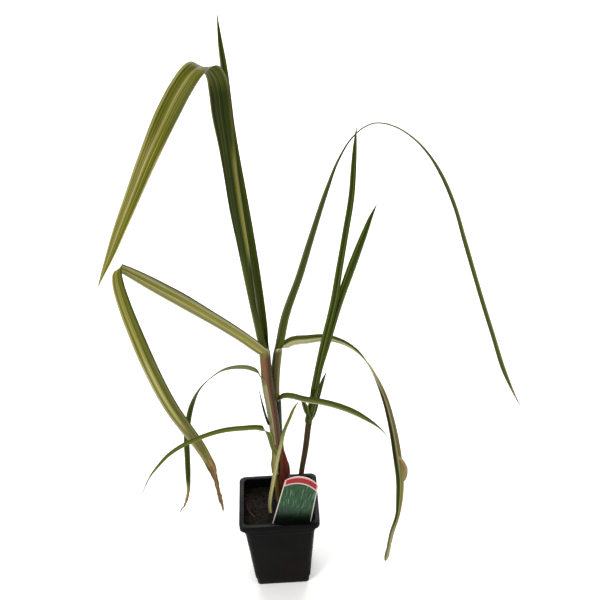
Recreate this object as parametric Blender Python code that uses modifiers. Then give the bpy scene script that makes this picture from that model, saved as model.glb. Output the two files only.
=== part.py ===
# Potted reed sweet grass: a square nursery pot of compost with three culms and their leaves.
# Named sizes and routes are in millimetres; MM turns them into Blender's metres.

import math

import bmesh
import bpy
import numpy as np
from mathutils import Matrix, Vector, noise

MM = 0.001
GAP = 0.3

# Pot: a thin moulded wall on a rounded square plan, with a stepped foot and a rolled rim
POT_HEIGHT = 100.0
POT_WALL = 1.0
POT_FOOT_HALF = 30.1
POT_FOOT_HEIGHT = 9.0
POT_NECK_HALF = 40.8
POT_RIM_HALF = 45.3
POT_LIP_DEPTH = 7.0
POT_BAND_DEPTH = 16.0
POT_CORNER = 4.5
DRAIN_HOLE_RADIUS = 4.5
DRAIN_HOLE_PLACE = 19.0

# Compost: fills the pot to a little below the rim
SOIL_FLOOR = 1.6
SOIL_TOP = 87.5
SOIL_FLOOR_HALF = 28.4
SOIL_TOP_HALF = 38.3
SOIL_CORNER = 8.0
SOIL_LUMP = 2.2
SOIL_CELLS = 12

# Label: a plastic tag with an arched top, leaning back and to the right
LABEL_WIDTH = 43.4
LABEL_TOP_WIDTH = 37.8
LABEL_SIDE = 74.5
LABEL_ARCH = 9.5
LABEL_THICK = 0.8
LABEL_POINT = 6.0
LABEL_SLOT = 28.0
LABEL_FOOT = (8.6, -35.4, 74.2)
LABEL_LEAN_BACK = 5.0
LABEL_LEAN_RIGHT = 14.4
ARCH_STEPS = 12

BLADE_THICK = 0.8
ROWS_PER_STATION = 3
STALK_BEVEL = 2

# Culms and shoots: x, y, z and radius of each station, from the foot up
STALKS = {
    "main_stem": (
        (2, 14, 76, 4.6), (0.5, 13.5, 120, 5.0), (0, 13, 143, 5.2), (1, 12.5, 156, 4.5),
        (1, 11, 191, 4.8), (-1.2, 10, 226, 5.2), (-3.8, 9, 257, 5.6), (-4.6, 8, 291, 5.5),
    ),
    "second_stem": (
        (4, 25, 76, 4.0), (3.6, 24, 116, 4.0), (3.4, 23.5, 146, 4.1), (2.6, 22, 182, 4.3),
        (2.9, 20.5, 218, 4.7), (3.2, 19, 239, 4.8), (4.8, 17.5, 261, 4.8), (9, 15, 293, 4.8),
    ),
    "red_bud": (
        (8.5, 3, 76, 4.8), (8.7, 3, 111, 5.6), (9, 3.5, 132, 5.8), (9.2, 4, 146, 5.2),
        (8.8, 4.5, 158, 3.4), (8.5, 5, 171, 1.0),
    ),
    "side_stem": (
        (24, 30, 76, 2.9), (28, 29, 114, 3.1), (34, 27, 150, 3.4), (40, 23, 195, 3.6),
        (43, 20, 213, 4.0), (45, 18.5, 226, 3.4),
    ),
}

# Leaves and shoots made as blades: the stations of the midrib (x, y, z and the width there)
# from the root to the tip, then the way that the blade's right-hand edge points, each with the
# share of the length where it points so. Right is as seen from the root, with the upper face up.
BLADES = {
    "leaf_tall_arching": (
        (
            (-6, 6.2, 293.5, 8.6), (-8.8, 3, 322, 7.8), (-12.8, -1, 355, 7), (-15, -4, 381, 8.2),
            (-18.5, -10, 430, 11.5), (-22.4, -17, 477.5, 13.5), (-25, -23, 522, 14.2),
            (-26.2, -26.5, 546, 15.7), (-28.2, -31.5, 580, 19.3), (-29, -35, 606, 20),
            (-30.5, -37.2, 617, 20.2), (-34.9, -42, 627.5, 21), (-39.4, -47, 632.4, 20.4),
            (-44.4, -53, 633, 20.2), (-49.3, -59, 630.7, 20.2), (-59.8, -68.3, 619.8, 20.5),
            (-69.8, -76.5, 605.7, 20.6), (-91.7, -88, 567, 17.4), (-112.4, -96, 526, 13.4),
            (-122.9, -100, 505, 11.4), (-133, -104, 483.7, 8.3), (-140, -107, 469.4, 5.1),
            (-144.2, -109, 461, 2.8), (-148.2, -111, 452.1, 0.7),
        ),
        (
            (0.0, (-0.98, 0.17, -0.06)), (0.5, (-0.99, 0.13, 0.03)), (0.539, (-0.99, 0.15, 0.0)),
            (0.559, (-0.93, 0.32, -0.15)), (0.581, (-0.8, 0.52, -0.31)),
            (0.596, (-0.87, 0.49, -0.07)), (0.61, (-0.89, 0.4, 0.22)),
            (0.625, (-0.91, 0.24, 0.32)), (0.656, (-0.92, 0.1, 0.37)),
            (0.69, (-0.89, 0.03, 0.45)), (1.0, (-0.89, 0.03, 0.45)),
        ),
    ),
    "leaf_top_spike": (
        (
            (-3, 10.5, 293.5, 8.5), (-7, 12, 358.5, 10.6), (-12.6, 14, 428, 11),
            (-17.9, 15, 483.5, 10.6), (-23, 16, 546.5, 8.9), (-25.5, 18, 609.5, 7),
            (-27, 19, 632, 5), (-27.5, 20, 649.5, 2.2), (-27.5, 20, 660.6, 0.7),
        ),
        (
            (0.0, (1.0, 0.2, 0.1)), (1.0, (0.9, 0.5, 0.1)),
        ),
    ),
    "leaf_left_folded": (
        (
            (-2.5, 2, 297, 10.5), (-8, -2, 305.5, 13.4), (-24.8, -8, 325.6, 14.2),
            (-62.6, -22, 366.3, 16.4), (-80.8, -29, 385.2, 17.2), (-98.4, -36.5, 403, 16.8),
            (-115.5, -44.5, 420.7, 15), (-125.4, -50, 431.4, 12.6), (-132.5, -54.2, 438.8, 9.8),
            (-136.3, -58.3, 442.8, 9.6), (-137.6, -60.5, 440, 11.3),
            (-138.1, -61.2, 434.8, 11.8), (-137.9, -60.9, 425.2, 12.4),
            (-135.8, -59.6, 407.7, 13.5), (-127.3, -54.6, 360.7, 15.7),
            (-112.1, -48.3, 296.7, 16.2), (-102.5, -44.5, 266.4, 15.8), (-90.8, -41, 237.9, 15),
            (-80.2, -38.5, 214.2, 13.2), (-73.3, -37, 195.1, 11.3), (-68.9, -36.2, 179.8, 10.2),
            (-67.4, -36, 171.3, 7), (-65.4, -36, 155.1, 5), (-63.3, -36, 136.6, 4.6),
            (-61.9, -36, 125.1, 2.7), (-61.1, -36, 117.8, 0.7),
        ),
        (
            (0.0, (-0.5, 0.1, -0.86)), (0.348, (-0.46, 0.12, -0.88)),
            (0.368, (-0.45, -0.06, -0.89)), (0.381, (-0.82, -0.16, -0.56)),
            (0.388, (-0.85, 0.0, -0.53)), (0.399, (-0.89, 0.03, -0.45)),
            (0.417, (-0.95, 0.07, -0.31)), (0.5, (-0.94, 0.08, -0.33)),
            (0.657, (-0.89, 0.06, -0.45)), (0.715, (-0.81, 0.06, -0.58)),
            (0.772, (-0.75, 0.07, -0.66)), (0.857, (-0.82, 0.03, -0.57)),
            (0.9, (-0.92, 0.0, -0.39)), (1.0, (-0.98, 0.0, -0.2)),
        ),
    ),
    "leaf_right_arching": (
        (
            (9.6, 14, 295.5, 7.3), (13, 12.6, 308, 8.8), (17.5, 11, 330, 9.3), (38, 7, 392, 8.3),
            (49.5, 5, 429.5, 8), (69, 3, 488.5, 7.6), (79.5, 2, 516.5, 6.6),
            (92.5, 1, 538.5, 5.6), (104, 0, 549, 5), (114, -1, 553, 4.8),
            (123.5, -2, 552.5, 4.9), (136.5, -3, 547.5, 5.2), (152.5, -5, 535.5, 5.8),
            (166.5, -6, 518, 6), (177, -8, 500, 6), (189.5, -10, 470.5, 5.6),
            (202, -14, 427.5, 5.4), (221, -19, 361.5, 5.2), (233, -22, 322, 5.2),
            (246.5, -25, 278, 4.9), (256, -27, 254.5, 2.8), (266.3, -29, 232, 0.7),
        ),
        (
            (0.0, (-0.93, 0.0, 0.35)), (0.2, (-0.9, -0.3, 0.3)), (0.31, (-0.65, -0.7, 0.3)),
            (0.37, (-0.3, -0.88, 0.35)), (0.42, (0.0, -0.93, 0.37)), (0.5, (-0.15, -0.92, 0.25)),
            (0.58, (-0.6, -0.75, -0.05)), (0.7, (-0.8, -0.5, -0.3)), (1.0, (-0.9, -0.3, -0.3)),
        ),
    ),
    "leaf_right_drooping": (
        (
            (18, 16, 301.5, 7), (25, 15.5, 303.5, 9.8), (42, 19, 303, 9.8), (63, 22, 301.5, 8.3),
            (79.5, 23, 294.5, 7.2), (90.5, 22, 287, 6.8), (98.5, 20, 279.5, 6.5),
            (104.5, 18, 272.5, 6.4), (113.5, 14, 254.5, 6.8), (124, 7, 226.5, 7.6),
            (129.5, 2, 202.5, 8.8), (136, -8, 156.5, 10), (138.1, -14, 129.5, 9.2),
            (137, -19, 105, 7.8), (135.1, -22, 88.5, 5.6), (126.9, -27, 61, 5.3),
            (123.4, -30, 44, 4.7), (120.4, -32, 31, 4.4), (119, -33, 27.2, 2.2),
        ),
        (
            (0.0, (0.2, -0.7, -0.7)), (0.2, (0.2, -0.8, -0.6)), (0.26, (0.1, -0.9, -0.3)),
            (0.3, (0.2, -0.93, 0.3)), (0.35, (0.6, -0.75, 0.3)), (0.42, (0.9, -0.35, 0.2)),
            (1.0, (1.0, -0.2, -0.2)),
        ),
    ),
    "leaf_right_low": (
        (
            (9, 18, 163, 3.6), (9, 16, 200, 4.4), (9.8, 14, 228, 5.2), (10.5, 12.5, 235, 6.2),
            (16, 9, 238.6, 6.6), (24, 5, 239.6, 6.8), (33, 2, 238, 6.8), (54.5, -4, 236.3, 7.1),
            (74, -9, 232, 7), (90, -13, 225.5, 6.6), (102.5, -16, 218, 5),
            (112.5, -18, 210.5, 2.8), (126, -21, 194.5, 0.7),
        ),
        (
            (0.0, (-0.1, -0.95, -0.2)), (0.347, (0.1, -0.85, -0.5)),
            (0.415, (0.2, -0.75, -0.62)), (1.0, (0.1, -0.7, -0.7)),
        ),
    ),
    "leaf_left_small": (
        (
            (-11, 8.5, 243, 4), (-11.2, 6.5, 259, 4.6), (-12.2, 6, 268, 5.4),
            (-14.5, 6.5, 274, 6), (-21, 8, 277.3, 6), (-35, 10, 278.5, 5.6),
            (-49.5, 12, 275, 4.9), (-61, 14, 267.5, 4.4), (-69, 15, 260.5, 4.4),
            (-80, 17, 246, 5.2), (-88.5, 18, 228, 6.6), (-95, 19, 205.5, 6.8),
            (-99.5, 20, 177.5, 6.8), (-101, 20, 152, 6.6), (-102.6, 20, 126, 6),
            (-104.6, 20, 103.5, 4), (-109.5, 20, 86, 3), (-119, 20, 70.7, 0.7),
        ),
        (
            (0.0, (-0.6, 0.7, 0.0)), (0.108, (-0.3, 0.8, 0.5)), (0.213, (0.0, 0.95, 0.2)),
            (0.298, (0.0, 0.9, -0.42)), (0.364, (0.4, 0.8, -0.45)), (0.45, (0.85, 0.45, -0.25)),
            (0.545, (0.95, 0.3, -0.1)), (1.0, (0.9, 0.4, 0.0)),
        ),
    ),
    "leaf_left_low": (
        (
            (-3.5, 9, 158, 5), (-5.6, 7, 178, 6), (-8.6, 5.5, 193, 6.5), (-12, 3, 200.5, 6.2),
            (-17.5, 0, 204, 6.3), (-31.5, -9, 211, 6.1), (-51.5, -22, 219.5, 5.6),
            (-68.5, -36, 225.5, 5), (-82, -47, 228, 4.9), (-98.5, -55, 225.3, 4.4),
            (-112.5, -60, 218, 3.7), (-122.5, -65, 209.7, 2.9), (-130.5, -69, 201.5, 1.8),
            (-145.4, -77, 172.7, 0.7),
        ),
        (
            (0.0, (-0.82, 0.57, 0.0)), (0.16, (-0.7, 0.65, 0.25)), (0.26, (-0.35, 0.6, 0.68)),
            (1.0, (-0.3, 0.6, 0.7)),
        ),
    ),
    "thin_spike": (
        (
            (-5, 4, 203.5, 2.8), (-7.2, 2.5, 213, 2.7), (-10.6, 1, 233, 2.1),
            (-13.4, -1, 255, 0.7),
        ),
        (
            (0.0, (1.0, 0.0, 0.2)), (1.0, (1.0, 0.2, 0.2)),
        ),
    ),
    "front_shoot": (
        (
            (-9, -7, 79, 4), (-10, -8, 100.5, 4.2), (-9, -8, 109.5, 4.3), (-6, -8, 125.5, 4.4),
            (-2.5, -8, 142.5, 4.8), (3, -8, 166, 4.6), (7, -8, 185.5, 4.3), (11.5, -8, 204, 3.9),
            (18.5, -8, 221.5, 3.5), (23.5, -8, 233.5, 2.7), (29, -8, 242.3, 0.7),
        ),
        (
            (0.0, (0.9, -0.4, 0.0)), (1.0, (0.9, -0.3, -0.3)),
        ),
    ),
    "side_blade_tall": (
        (
            (44, 16, 228.5, 7.4), (46.3, 14, 242.5, 7), (50.5, 11, 266, 6.8),
            (57.5, 8, 300, 7.6), (71, 3, 360, 8.4), (77, 1, 397.5, 7.8), (83.5, 0, 435, 7.4),
            (91, -3, 484, 6.9), (93, -4, 510, 6.2), (94.8, -4.6, 534, 4), (96.6, -5, 552.2, 0.7),
        ),
        (
            (0.0, (1.0, 0.1, -0.2)), (0.5, (0.95, 0.3, -0.2)), (1.0, (0.9, 0.4, -0.1)),
        ),
    ),
    "side_blade_second": (
        (
            (47.2, 19, 228.5, 7), (48.5, 17.5, 240.5, 7), (52.5, 15, 263, 6.8),
            (61.5, 12, 297.5, 7.2), (77.5, 7, 357.5, 8.3), (89.5, 4, 395, 8.8),
            (97, 2, 417.5, 8), (104.5, 0, 439.5, 6.2), (110, -1, 455, 3.9),
            (116, -2, 469.3, 0.7),
        ),
        (
            (0.0, (-0.9, 0.35, 0.2)), (0.5, (-0.95, 0.1, 0.3)), (1.0, (-0.9, 0.0, 0.4)),
        ),
    ),
    "side_blade_short": (
        (
            (47.8, 22.8, 207, 4.2), (50, 23.3, 217, 4.9), (52.7, 24, 228.5, 5.4),
            (56.5, 24.5, 243, 4.6), (61.5, 25.5, 256.5, 0.7),
        ),
        (
            (0.0, (-0.64, -0.75, 0.1)), (1.0, (-0.64, -0.74, 0.2)),
        ),
    ),
    "side_bract": (
        (
            (38.5, 19, 199, 5), (36.6, 16, 212, 8), (34.4, 14, 223, 7), (31.5, 12.5, 231.8, 0.7),
        ),
        (
            (0.0, (-0.85, 0.45, 0.0)), (1.0, (-0.8, 0.5, 0.1)),
        ),
    ),
    "side_flap": (
        ((44.3, 17.6, 200.5, 3), (47, 17, 210.5, 4.6), (49, 17, 219, 4.2), (51, 16.5, 227, 0.8)),
        ((0.0, (0.7, 0.6, -0.3)), (1.0, (0.8, 0.5, -0.3))),
    ),
    "dry_strand_upper": (
        (
            (-33, -2, 91, 3), (-36, 1.5, 92.5, 3.4), (-38, 5.5, 95.5, 2.4),
            (-38.6, 9, 98.5, 0.7),
        ),
        (
            (0.0, (0.6, -0.4, 0.7)), (1.0, (0.5, -0.2, 0.85)),
        ),
    ),
    "dry_strand_lower": (
        (
            (-28, -15, 91, 2.4), (-32, -10.5, 92, 3), (-35, -7, 94.5, 2.2),
            (-36.5, -4, 97.5, 0.7),
        ),
        (
            (0.0, (0.6, -0.4, 0.7)), (1.0, (0.5, -0.2, 0.85)),
        ),
    ),
}

# Blades whose edges are given margin to margin, not square to the midrib
SKEWED = ("leaf_tall_arching", "leaf_left_folded")

# How deep a blade's gutter is, as a share of its width; the others take GUTTER
GUTTER = 0.12
GUTTERS = {"leaf_top_spike": 0.3, "leaf_right_drooping": 0.2, "front_shoot": 0.25}

# Colours: base colour, roughness and metallic value of each plain material
FINISHES = {
    "black_plastic": ((0.012, 0.012, 0.013), 0.42, 0.0),
    "compost": ((0.022, 0.014, 0.009), 0.95, 0.0),
    "label_plastic": ((0.85, 0.84, 0.8), 0.35, 0.0),
    "sheath": ((0.22, 0.13, 0.075), 0.5, 0.0),
    "bud_skin": ((0.11, 0.02, 0.02), 0.4, 0.0),
    "green_blade": ((0.09, 0.15, 0.03), 0.42, 0.0),
    "striped_blade": ((0.28, 0.31, 0.09), 0.42, 0.0),
    "dry_blade": ((0.2, 0.1, 0.05), 0.75, 0.0),
}
STRIPED = ("leaf_tall_arching", "leaf_left_folded", "leaf_right_drooping", "front_shoot")
DRY = ("thin_spike", "dry_strand_upper", "dry_strand_lower")


def clear_scene():
    for thing in list(bpy.data.objects):
        bpy.data.objects.remove(thing)


def new_collection(name):
    collection = bpy.data.collections.new(name)
    bpy.context.scene.collection.children.link(collection)
    return collection


def plain_material(name):
    colour, roughness, metallic = FINISHES[name]
    material = bpy.data.materials.new(name)
    material.use_nodes = True
    shader = material.node_tree.nodes["Principled BSDF"]
    shader.inputs["Base Color"].default_value = (*colour, 1.0)
    shader.inputs["Roughness"].default_value = roughness
    shader.inputs["Metallic"].default_value = metallic
    return material


def place_mesh(name, shape, collection, material=None, smooth=True):
    """Turns a bmesh, still in millimetres, into a named object in metres."""
    bmesh.ops.scale(shape, vec=Vector((MM, MM, MM)), verts=shape.verts)
    mesh = bpy.data.meshes.new(name)
    shape.to_mesh(mesh)
    shape.free()
    if smooth:
        mesh.shade_smooth()
        mesh.set_sharp_from_angle(angle=math.radians(40))
    thing = bpy.data.objects.new(name, mesh)
    if material:
        mesh.materials.append(material)
    collection.objects.link(thing)
    return thing


def hide_cutter(thing):
    thing.hide_render = True
    thing.display_type = "WIRE"
    return thing


def cut_away(thing, cutters):
    for cutter in cutters:
        cut = thing.modifiers.new("cut_" + cutter.name, "BOOLEAN")
        cut.operation = "DIFFERENCE"
        cut.object = cutter


def smooth_rows(stations, steps):
    """Rows of numbers on a smooth line through the stations, with steps rows to each gap."""
    points = np.array(stations, dtype=float)
    gaps = np.linalg.norm(np.diff(points[:, :3], axis=0), axis=1)
    slopes = np.diff(points, axis=0) / gaps[:, None]
    inner = (slopes[:-1] * gaps[1:, None] + slopes[1:] * gaps[:-1, None]) / (
        gaps[:-1] + gaps[1:]
    )[:, None]
    tangents = np.vstack((slopes[:1], inner, slopes[-1:]))
    rows = []
    for index, gap in enumerate(gaps):
        for step in range(steps):
            t = step / steps
            rows.append(
                (2 * t**3 - 3 * t**2 + 1) * points[index]
                + (t**3 - 2 * t**2 + t) * gap * tangents[index]
                + (3 * t**2 - 2 * t**3) * points[index + 1]
                + (t**3 - t**2) * gap * tangents[index + 1]
            )
    rows.append(points[-1])
    return np.array(rows)


def blade_frames(name):
    """For each row: its centre, the way to the right edge, the upper side and the width."""
    stations, edges = BLADES[name]
    rows = smooth_rows(stations, ROWS_PER_STATION)
    centres = rows[:, :3]
    travelled = np.concatenate(([0.0], np.cumsum(np.linalg.norm(np.diff(centres, axis=0), axis=1))))
    shares = travelled / travelled[-1]
    keys = [share for share, _ in edges]
    wanted = np.stack([np.interp(shares, keys, [edge[axis] for _, edge in edges]) for axis in range(3)], 1)
    along = np.gradient(centres, travelled, axis=0)
    along /= np.linalg.norm(along, axis=1)[:, None]
    across = wanted
    if name not in SKEWED:
        across = wanted - np.sum(wanted * along, axis=1)[:, None] * along
    across /= np.linalg.norm(across, axis=1)[:, None]
    upward = np.cross(across, along)
    upward /= np.linalg.norm(upward, axis=1)[:, None]
    return centres, across, upward, np.maximum(rows[:, 3], 0.6)


def add_blade(name, collection, material):
    """A strip with a shallow gutter, laid along its midrib and given its thickness."""
    centres, across, upward, widths = blade_frames(name)
    gutter = GUTTERS.get(name, GUTTER)
    shape = bmesh.new()
    last_row = len(centres) - 1
    bmesh.ops.create_grid(shape, x_segments=2, y_segments=last_row, size=1.0)
    for vert in shape.verts:
        side = round(vert.co.x)
        row = round((vert.co.y + 1) / 2 * last_row)
        lift = gutter * widths[row] * (abs(side) - 0.5)
        vert.co = centres[row] + side * widths[row] / 2 * across[row] + lift * upward[row]
    thing = place_mesh(name, shape, collection, material)
    wall = thing.modifiers.new("thickness", "SOLIDIFY")
    wall.thickness = BLADE_THICK * MM
    wall.offset = 0.0
    return thing


def add_stalk(name, stations, collection, material=None, grow=0.0):
    """A tapering round stalk, or with grow a cutter that leaves a gap round it."""
    rows = smooth_rows(stations, ROWS_PER_STATION)
    if grow:
        rows[0, 2] -= grow
    curve = bpy.data.curves.new(name, "CURVE")
    curve.dimensions = "3D"
    curve.bevel_depth = MM
    curve.bevel_resolution = STALK_BEVEL
    curve.use_fill_caps = True
    spline = curve.splines.new("POLY")
    spline.points.add(len(rows) - 1)
    for point, row in zip(spline.points, rows):
        point.co = (*(row[:3] * MM), 1.0)
        point.radius = row[3] + grow
    thing = bpy.data.objects.new(name, curve)
    collection.objects.link(thing)
    if material:
        curve.materials.append(material)
    return thing


def curve_to_mesh(thing):
    """A closed mesh object in place of a curve, for use as a cutter."""
    graph = bpy.context.evaluated_depsgraph_get()
    mesh = bpy.data.meshes.new_from_object(thing.evaluated_get(graph))
    shape = bmesh.new()
    shape.from_mesh(mesh)
    bmesh.ops.remove_doubles(shape, verts=shape.verts, dist=0.01 * MM)
    shape.to_mesh(mesh)
    shape.free()
    name, place = thing.name, thing.matrix_world.copy()
    collection = thing.users_collection[0]
    bpy.data.objects.remove(thing)
    solid = bpy.data.objects.new(name, mesh)
    solid.matrix_world = place
    collection.objects.link(solid)
    return solid


def rounded_square(shape, half, corner, height):
    """A flat face in a bmesh: a square with rounded corners."""
    made = bmesh.ops.create_grid(shape, x_segments=1, y_segments=1, size=half)
    bmesh.ops.translate(shape, vec=(0, 0, height), verts=made["verts"])
    bmesh.ops.bevel(
        shape, geom=made["verts"], offset=corner, segments=5, profile=0.5,
        affect="VERTICES", material=-1,
    )


def raise_ring(shape, half_was, half, height_was, height):
    """Extends the open border of the shape to a new width and height."""
    border = [edge for edge in shape.edges if len(edge.link_faces) < 2]
    made = bmesh.ops.extrude_edge_only(shape, edges=border)
    verts = [item for item in made["geom"] if isinstance(item, bmesh.types.BMVert)]
    growth = half / half_was
    bmesh.ops.scale(shape, vec=(growth, growth, 1.0), verts=verts)
    bmesh.ops.translate(shape, vec=(0, 0, height - height_was), verts=verts)


def pot_rings():
    """Half width and height of each ring of the wall's outer side, from the foot to the lip."""
    band_height = POT_HEIGHT - POT_BAND_DEPTH
    shelf = POT_HEIGHT - POT_WALL
    lip_half = POT_RIM_HALF - POT_WALL
    rise = (POT_NECK_HALF - POT_FOOT_HALF) / POT_HEIGHT
    return (
        (POT_FOOT_HALF, 0.0),
        (POT_FOOT_HALF + rise * POT_FOOT_HEIGHT, POT_FOOT_HEIGHT),
        (POT_FOOT_HALF + rise * POT_FOOT_HEIGHT + 0.9, POT_FOOT_HEIGHT + 0.8),
        (POT_NECK_HALF - 1.6, band_height - 1.0),
        (POT_NECK_HALF - 0.8, band_height),
        (POT_NECK_HALF, shelf),
        (lip_half, shelf),
        (lip_half - 0.2, POT_HEIGHT - POT_LIP_DEPTH),
    )


def add_pot(collection, cutters, material):
    shape = bmesh.new()
    rings = pot_rings()
    rounded_square(shape, POT_FOOT_HALF, POT_CORNER, 0.0)
    for (half_was, height_was), (half, height) in zip(rings, rings[1:]):
        raise_ring(shape, half_was, half, height_was, height)
    bmesh.ops.recalc_face_normals(shape, faces=shape.faces)
    if shape.faces[0].normal.z > 0:
        bmesh.ops.reverse_faces(shape, faces=shape.faces)
    pot = place_mesh("pot", shape, collection, material)
    wall = pot.modifiers.new("wall", "SOLIDIFY")
    wall.thickness = POT_WALL * MM
    wall.offset = -1.0
    wall.use_even_offset = True
    drains = []
    for index, (side_x, side_y) in enumerate(((-1, -1), (1, -1), (1, 1), (-1, 1))):
        hole = bmesh.new()
        bmesh.ops.create_cone(
            hole, cap_ends=True, segments=16, radius1=DRAIN_HOLE_RADIUS,
            radius2=DRAIN_HOLE_RADIUS, depth=6 * POT_WALL,
            matrix=Matrix.Translation((side_x * DRAIN_HOLE_PLACE, side_y * DRAIN_HOLE_PLACE, 0)),
        )
        drains.append(hide_cutter(place_mesh(f"drain_{index}", hole, cutters)))
    cut_away(pot, drains)
    return pot


def soil_place(x, y, half):
    """Moves a point of a square of this half width in to the square's rounded corner."""
    core = half - SOIL_CORNER
    inner = Vector((max(-core, min(core, x)), max(-core, min(core, y))))
    reach = Vector((x, y)) - inner
    if reach.length > SOIL_CORNER:
        reach *= SOIL_CORNER / reach.length
    return inner + reach


def add_soil(collection, material, sockets):
    """A tapered block with a lumpy top and a socket for each thing planted in it."""
    shape = bmesh.new()
    bmesh.ops.create_grid(
        shape, x_segments=SOIL_CELLS, y_segments=SOIL_CELLS, size=SOIL_TOP_HALF
    )
    for vert in shape.verts:
        spot = soil_place(vert.co.x, vert.co.y, SOIL_TOP_HALF)
        on_border = vert.is_boundary
        lump = 0.0 if on_border else SOIL_LUMP * noise.noise(Vector((spot.x, spot.y, 3.0)) / 11.0)
        vert.co = (spot.x, spot.y, SOIL_TOP + lump)
    raise_ring(shape, SOIL_TOP_HALF, SOIL_FLOOR_HALF, SOIL_TOP, SOIL_FLOOR)
    border = [edge for edge in shape.edges if len(edge.link_faces) < 2]
    bmesh.ops.contextual_create(shape, geom=border)
    bmesh.ops.recalc_face_normals(shape, faces=shape.faces)
    soil = place_mesh("potting_soil", shape, collection, material)
    cut_away(soil, sockets)
    return soil


def label_outline():
    """Points round the tag: a blunt point below, straight sides and an arc over the top."""
    foot_half = LABEL_WIDTH / 2
    top_half = LABEL_TOP_WIDTH / 2
    radius = (top_half**2 + LABEL_ARCH**2) / (2 * LABEL_ARCH)
    spread = math.asin(top_half / radius)
    points = [(-foot_half / 2, 0.0), (foot_half / 2, 0.0), (foot_half, LABEL_POINT)]
    for step in range(ARCH_STEPS + 1):
        angle = spread * (1 - 2 * step / ARCH_STEPS)
        height = LABEL_SIDE + LABEL_ARCH - radius * (1 - math.cos(angle))
        points.append((radius * math.sin(angle), height))
    points.append((-foot_half, LABEL_POINT))
    return points


def label_matrix():
    lean_right = Matrix.Rotation(math.radians(-LABEL_LEAN_RIGHT), 4, "Z")
    stand_up = Matrix.Rotation(math.radians(90 - LABEL_LEAN_BACK), 4, "X")
    return Matrix.Translation(Vector(LABEL_FOOT) * MM) @ stand_up @ lean_right


def add_label(collection, material):
    curve = bpy.data.curves.new("plant_label", "CURVE")
    curve.dimensions = "2D"
    curve.fill_mode = "BOTH"
    curve.extrude = LABEL_THICK / 2 * MM
    outline = label_outline()
    spline = curve.splines.new("POLY")
    spline.points.add(len(outline) - 1)
    for point, (x, y) in zip(spline.points, outline):
        point.co = (x * MM, y * MM, 0.0, 1.0)
    spline.use_cyclic_u = True
    label = bpy.data.objects.new("plant_label", curve)
    label.matrix_world = label_matrix()
    curve.materials.append(material)
    collection.objects.link(label)
    return label


def label_socket(cutters):
    """The slot that the tag stands in: its own width and thickness with a gap all round."""
    slot = bmesh.new()
    bmesh.ops.create_cube(slot, size=1.0)
    depth = LABEL_SLOT
    size = (LABEL_WIDTH + 2 * GAP, depth + 2 * GAP, LABEL_THICK + 2 * GAP)
    bmesh.ops.scale(slot, vec=size, verts=slot.verts)
    bmesh.ops.translate(slot, vec=(0, depth / 2, 0), verts=slot.verts)
    cutter = place_mesh("label_slot", slot, cutters)
    cutter.matrix_world = label_matrix()
    return hide_cutter(cutter)


def add_shoot_socket(cutters):
    """The hole that the flat front shoot stands in."""
    x, y, z, width = BLADES["front_shoot"][0][0]
    hole = bmesh.new()
    bmesh.ops.create_cone(
        hole, cap_ends=True, segments=12, radius1=width, radius2=width, depth=40,
        matrix=Matrix.Translation((x, y, z + 20 - 2)),
    )
    return hide_cutter(place_mesh("front_shoot_hole", hole, cutters))


def blade_finish(name):
    if name in DRY:
        return "dry_blade"
    return "striped_blade" if name in STRIPED else "green_blade"


def build():
    clear_scene()
    plant = new_collection("potted_reed_sweet_grass")
    cutters = new_collection("cutters")
    finish = {name: plain_material(name) for name in FINISHES}
    add_pot(plant, cutters, finish["black_plastic"])
    sockets = [label_socket(cutters), add_shoot_socket(cutters)]
    for name, stations in STALKS.items():
        add_stalk(name, stations, plant, finish["bud_skin" if name == "red_bud" else "sheath"])
        cutter = add_stalk(name + "_hole", stations, cutters, grow=GAP)
        sockets.append(hide_cutter(curve_to_mesh(cutter)))
    add_soil(plant, finish["compost"], sockets)
    add_label(plant, finish["label_plastic"])
    for name in BLADES:
        add_blade(name, plant, finish[blade_finish(name)])


build()
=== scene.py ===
import math
import random

import bmesh
import bpy
import numpy as np
from mathutils import Matrix, Vector, noise


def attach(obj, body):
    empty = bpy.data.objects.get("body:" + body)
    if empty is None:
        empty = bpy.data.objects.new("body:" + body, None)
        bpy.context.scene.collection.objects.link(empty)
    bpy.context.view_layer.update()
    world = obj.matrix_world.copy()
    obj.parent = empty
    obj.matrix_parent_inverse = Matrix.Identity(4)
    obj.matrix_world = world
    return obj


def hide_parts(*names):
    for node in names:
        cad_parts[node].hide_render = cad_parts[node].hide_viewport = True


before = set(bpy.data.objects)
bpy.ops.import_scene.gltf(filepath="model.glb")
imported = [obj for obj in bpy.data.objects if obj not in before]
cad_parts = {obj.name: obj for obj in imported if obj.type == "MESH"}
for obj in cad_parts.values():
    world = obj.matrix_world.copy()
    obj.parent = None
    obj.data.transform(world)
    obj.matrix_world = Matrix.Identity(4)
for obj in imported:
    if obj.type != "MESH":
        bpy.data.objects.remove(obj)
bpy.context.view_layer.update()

MM = 0.001

# The camera stands where the photograph was taken from
CAMERA_PLACE = (19.75, -995.4, 936.1)
CAMERA_AIM = (35.55, 0.27, 363.3)
CAMERA_ROLL = -2.73
CAMERA_LENS = 66.7

# Pot
POT_HEIGHT = 100.0
POT_WALL = 1.0
POT_FOOT_HALF = 30.1
POT_FOOT_HEIGHT = 9.0
POT_NECK_HALF = 40.8
POT_RIM_HALF = 45.3
POT_LIP_DEPTH = 7.0
POT_BAND_DEPTH = 16.0
POT_CORNER = 4.5
POT_CORNER_STEPS = 8
POT_EDGE = 0.3
DRAIN_HOLE_RADIUS = 4.5
DRAIN_HOLE_PLACE = 19.0

# Compost
SOIL_FLOOR = 1.3
SOIL_TOP = 87.5
SOIL_FLOOR_HALF = 28.6
SOIL_TOP_HALF = 39.1
SOIL_CORNER = 5.0
SOIL_LUMP = 2.2
SOIL_CELLS = 130
CRUMBS = 620

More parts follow.
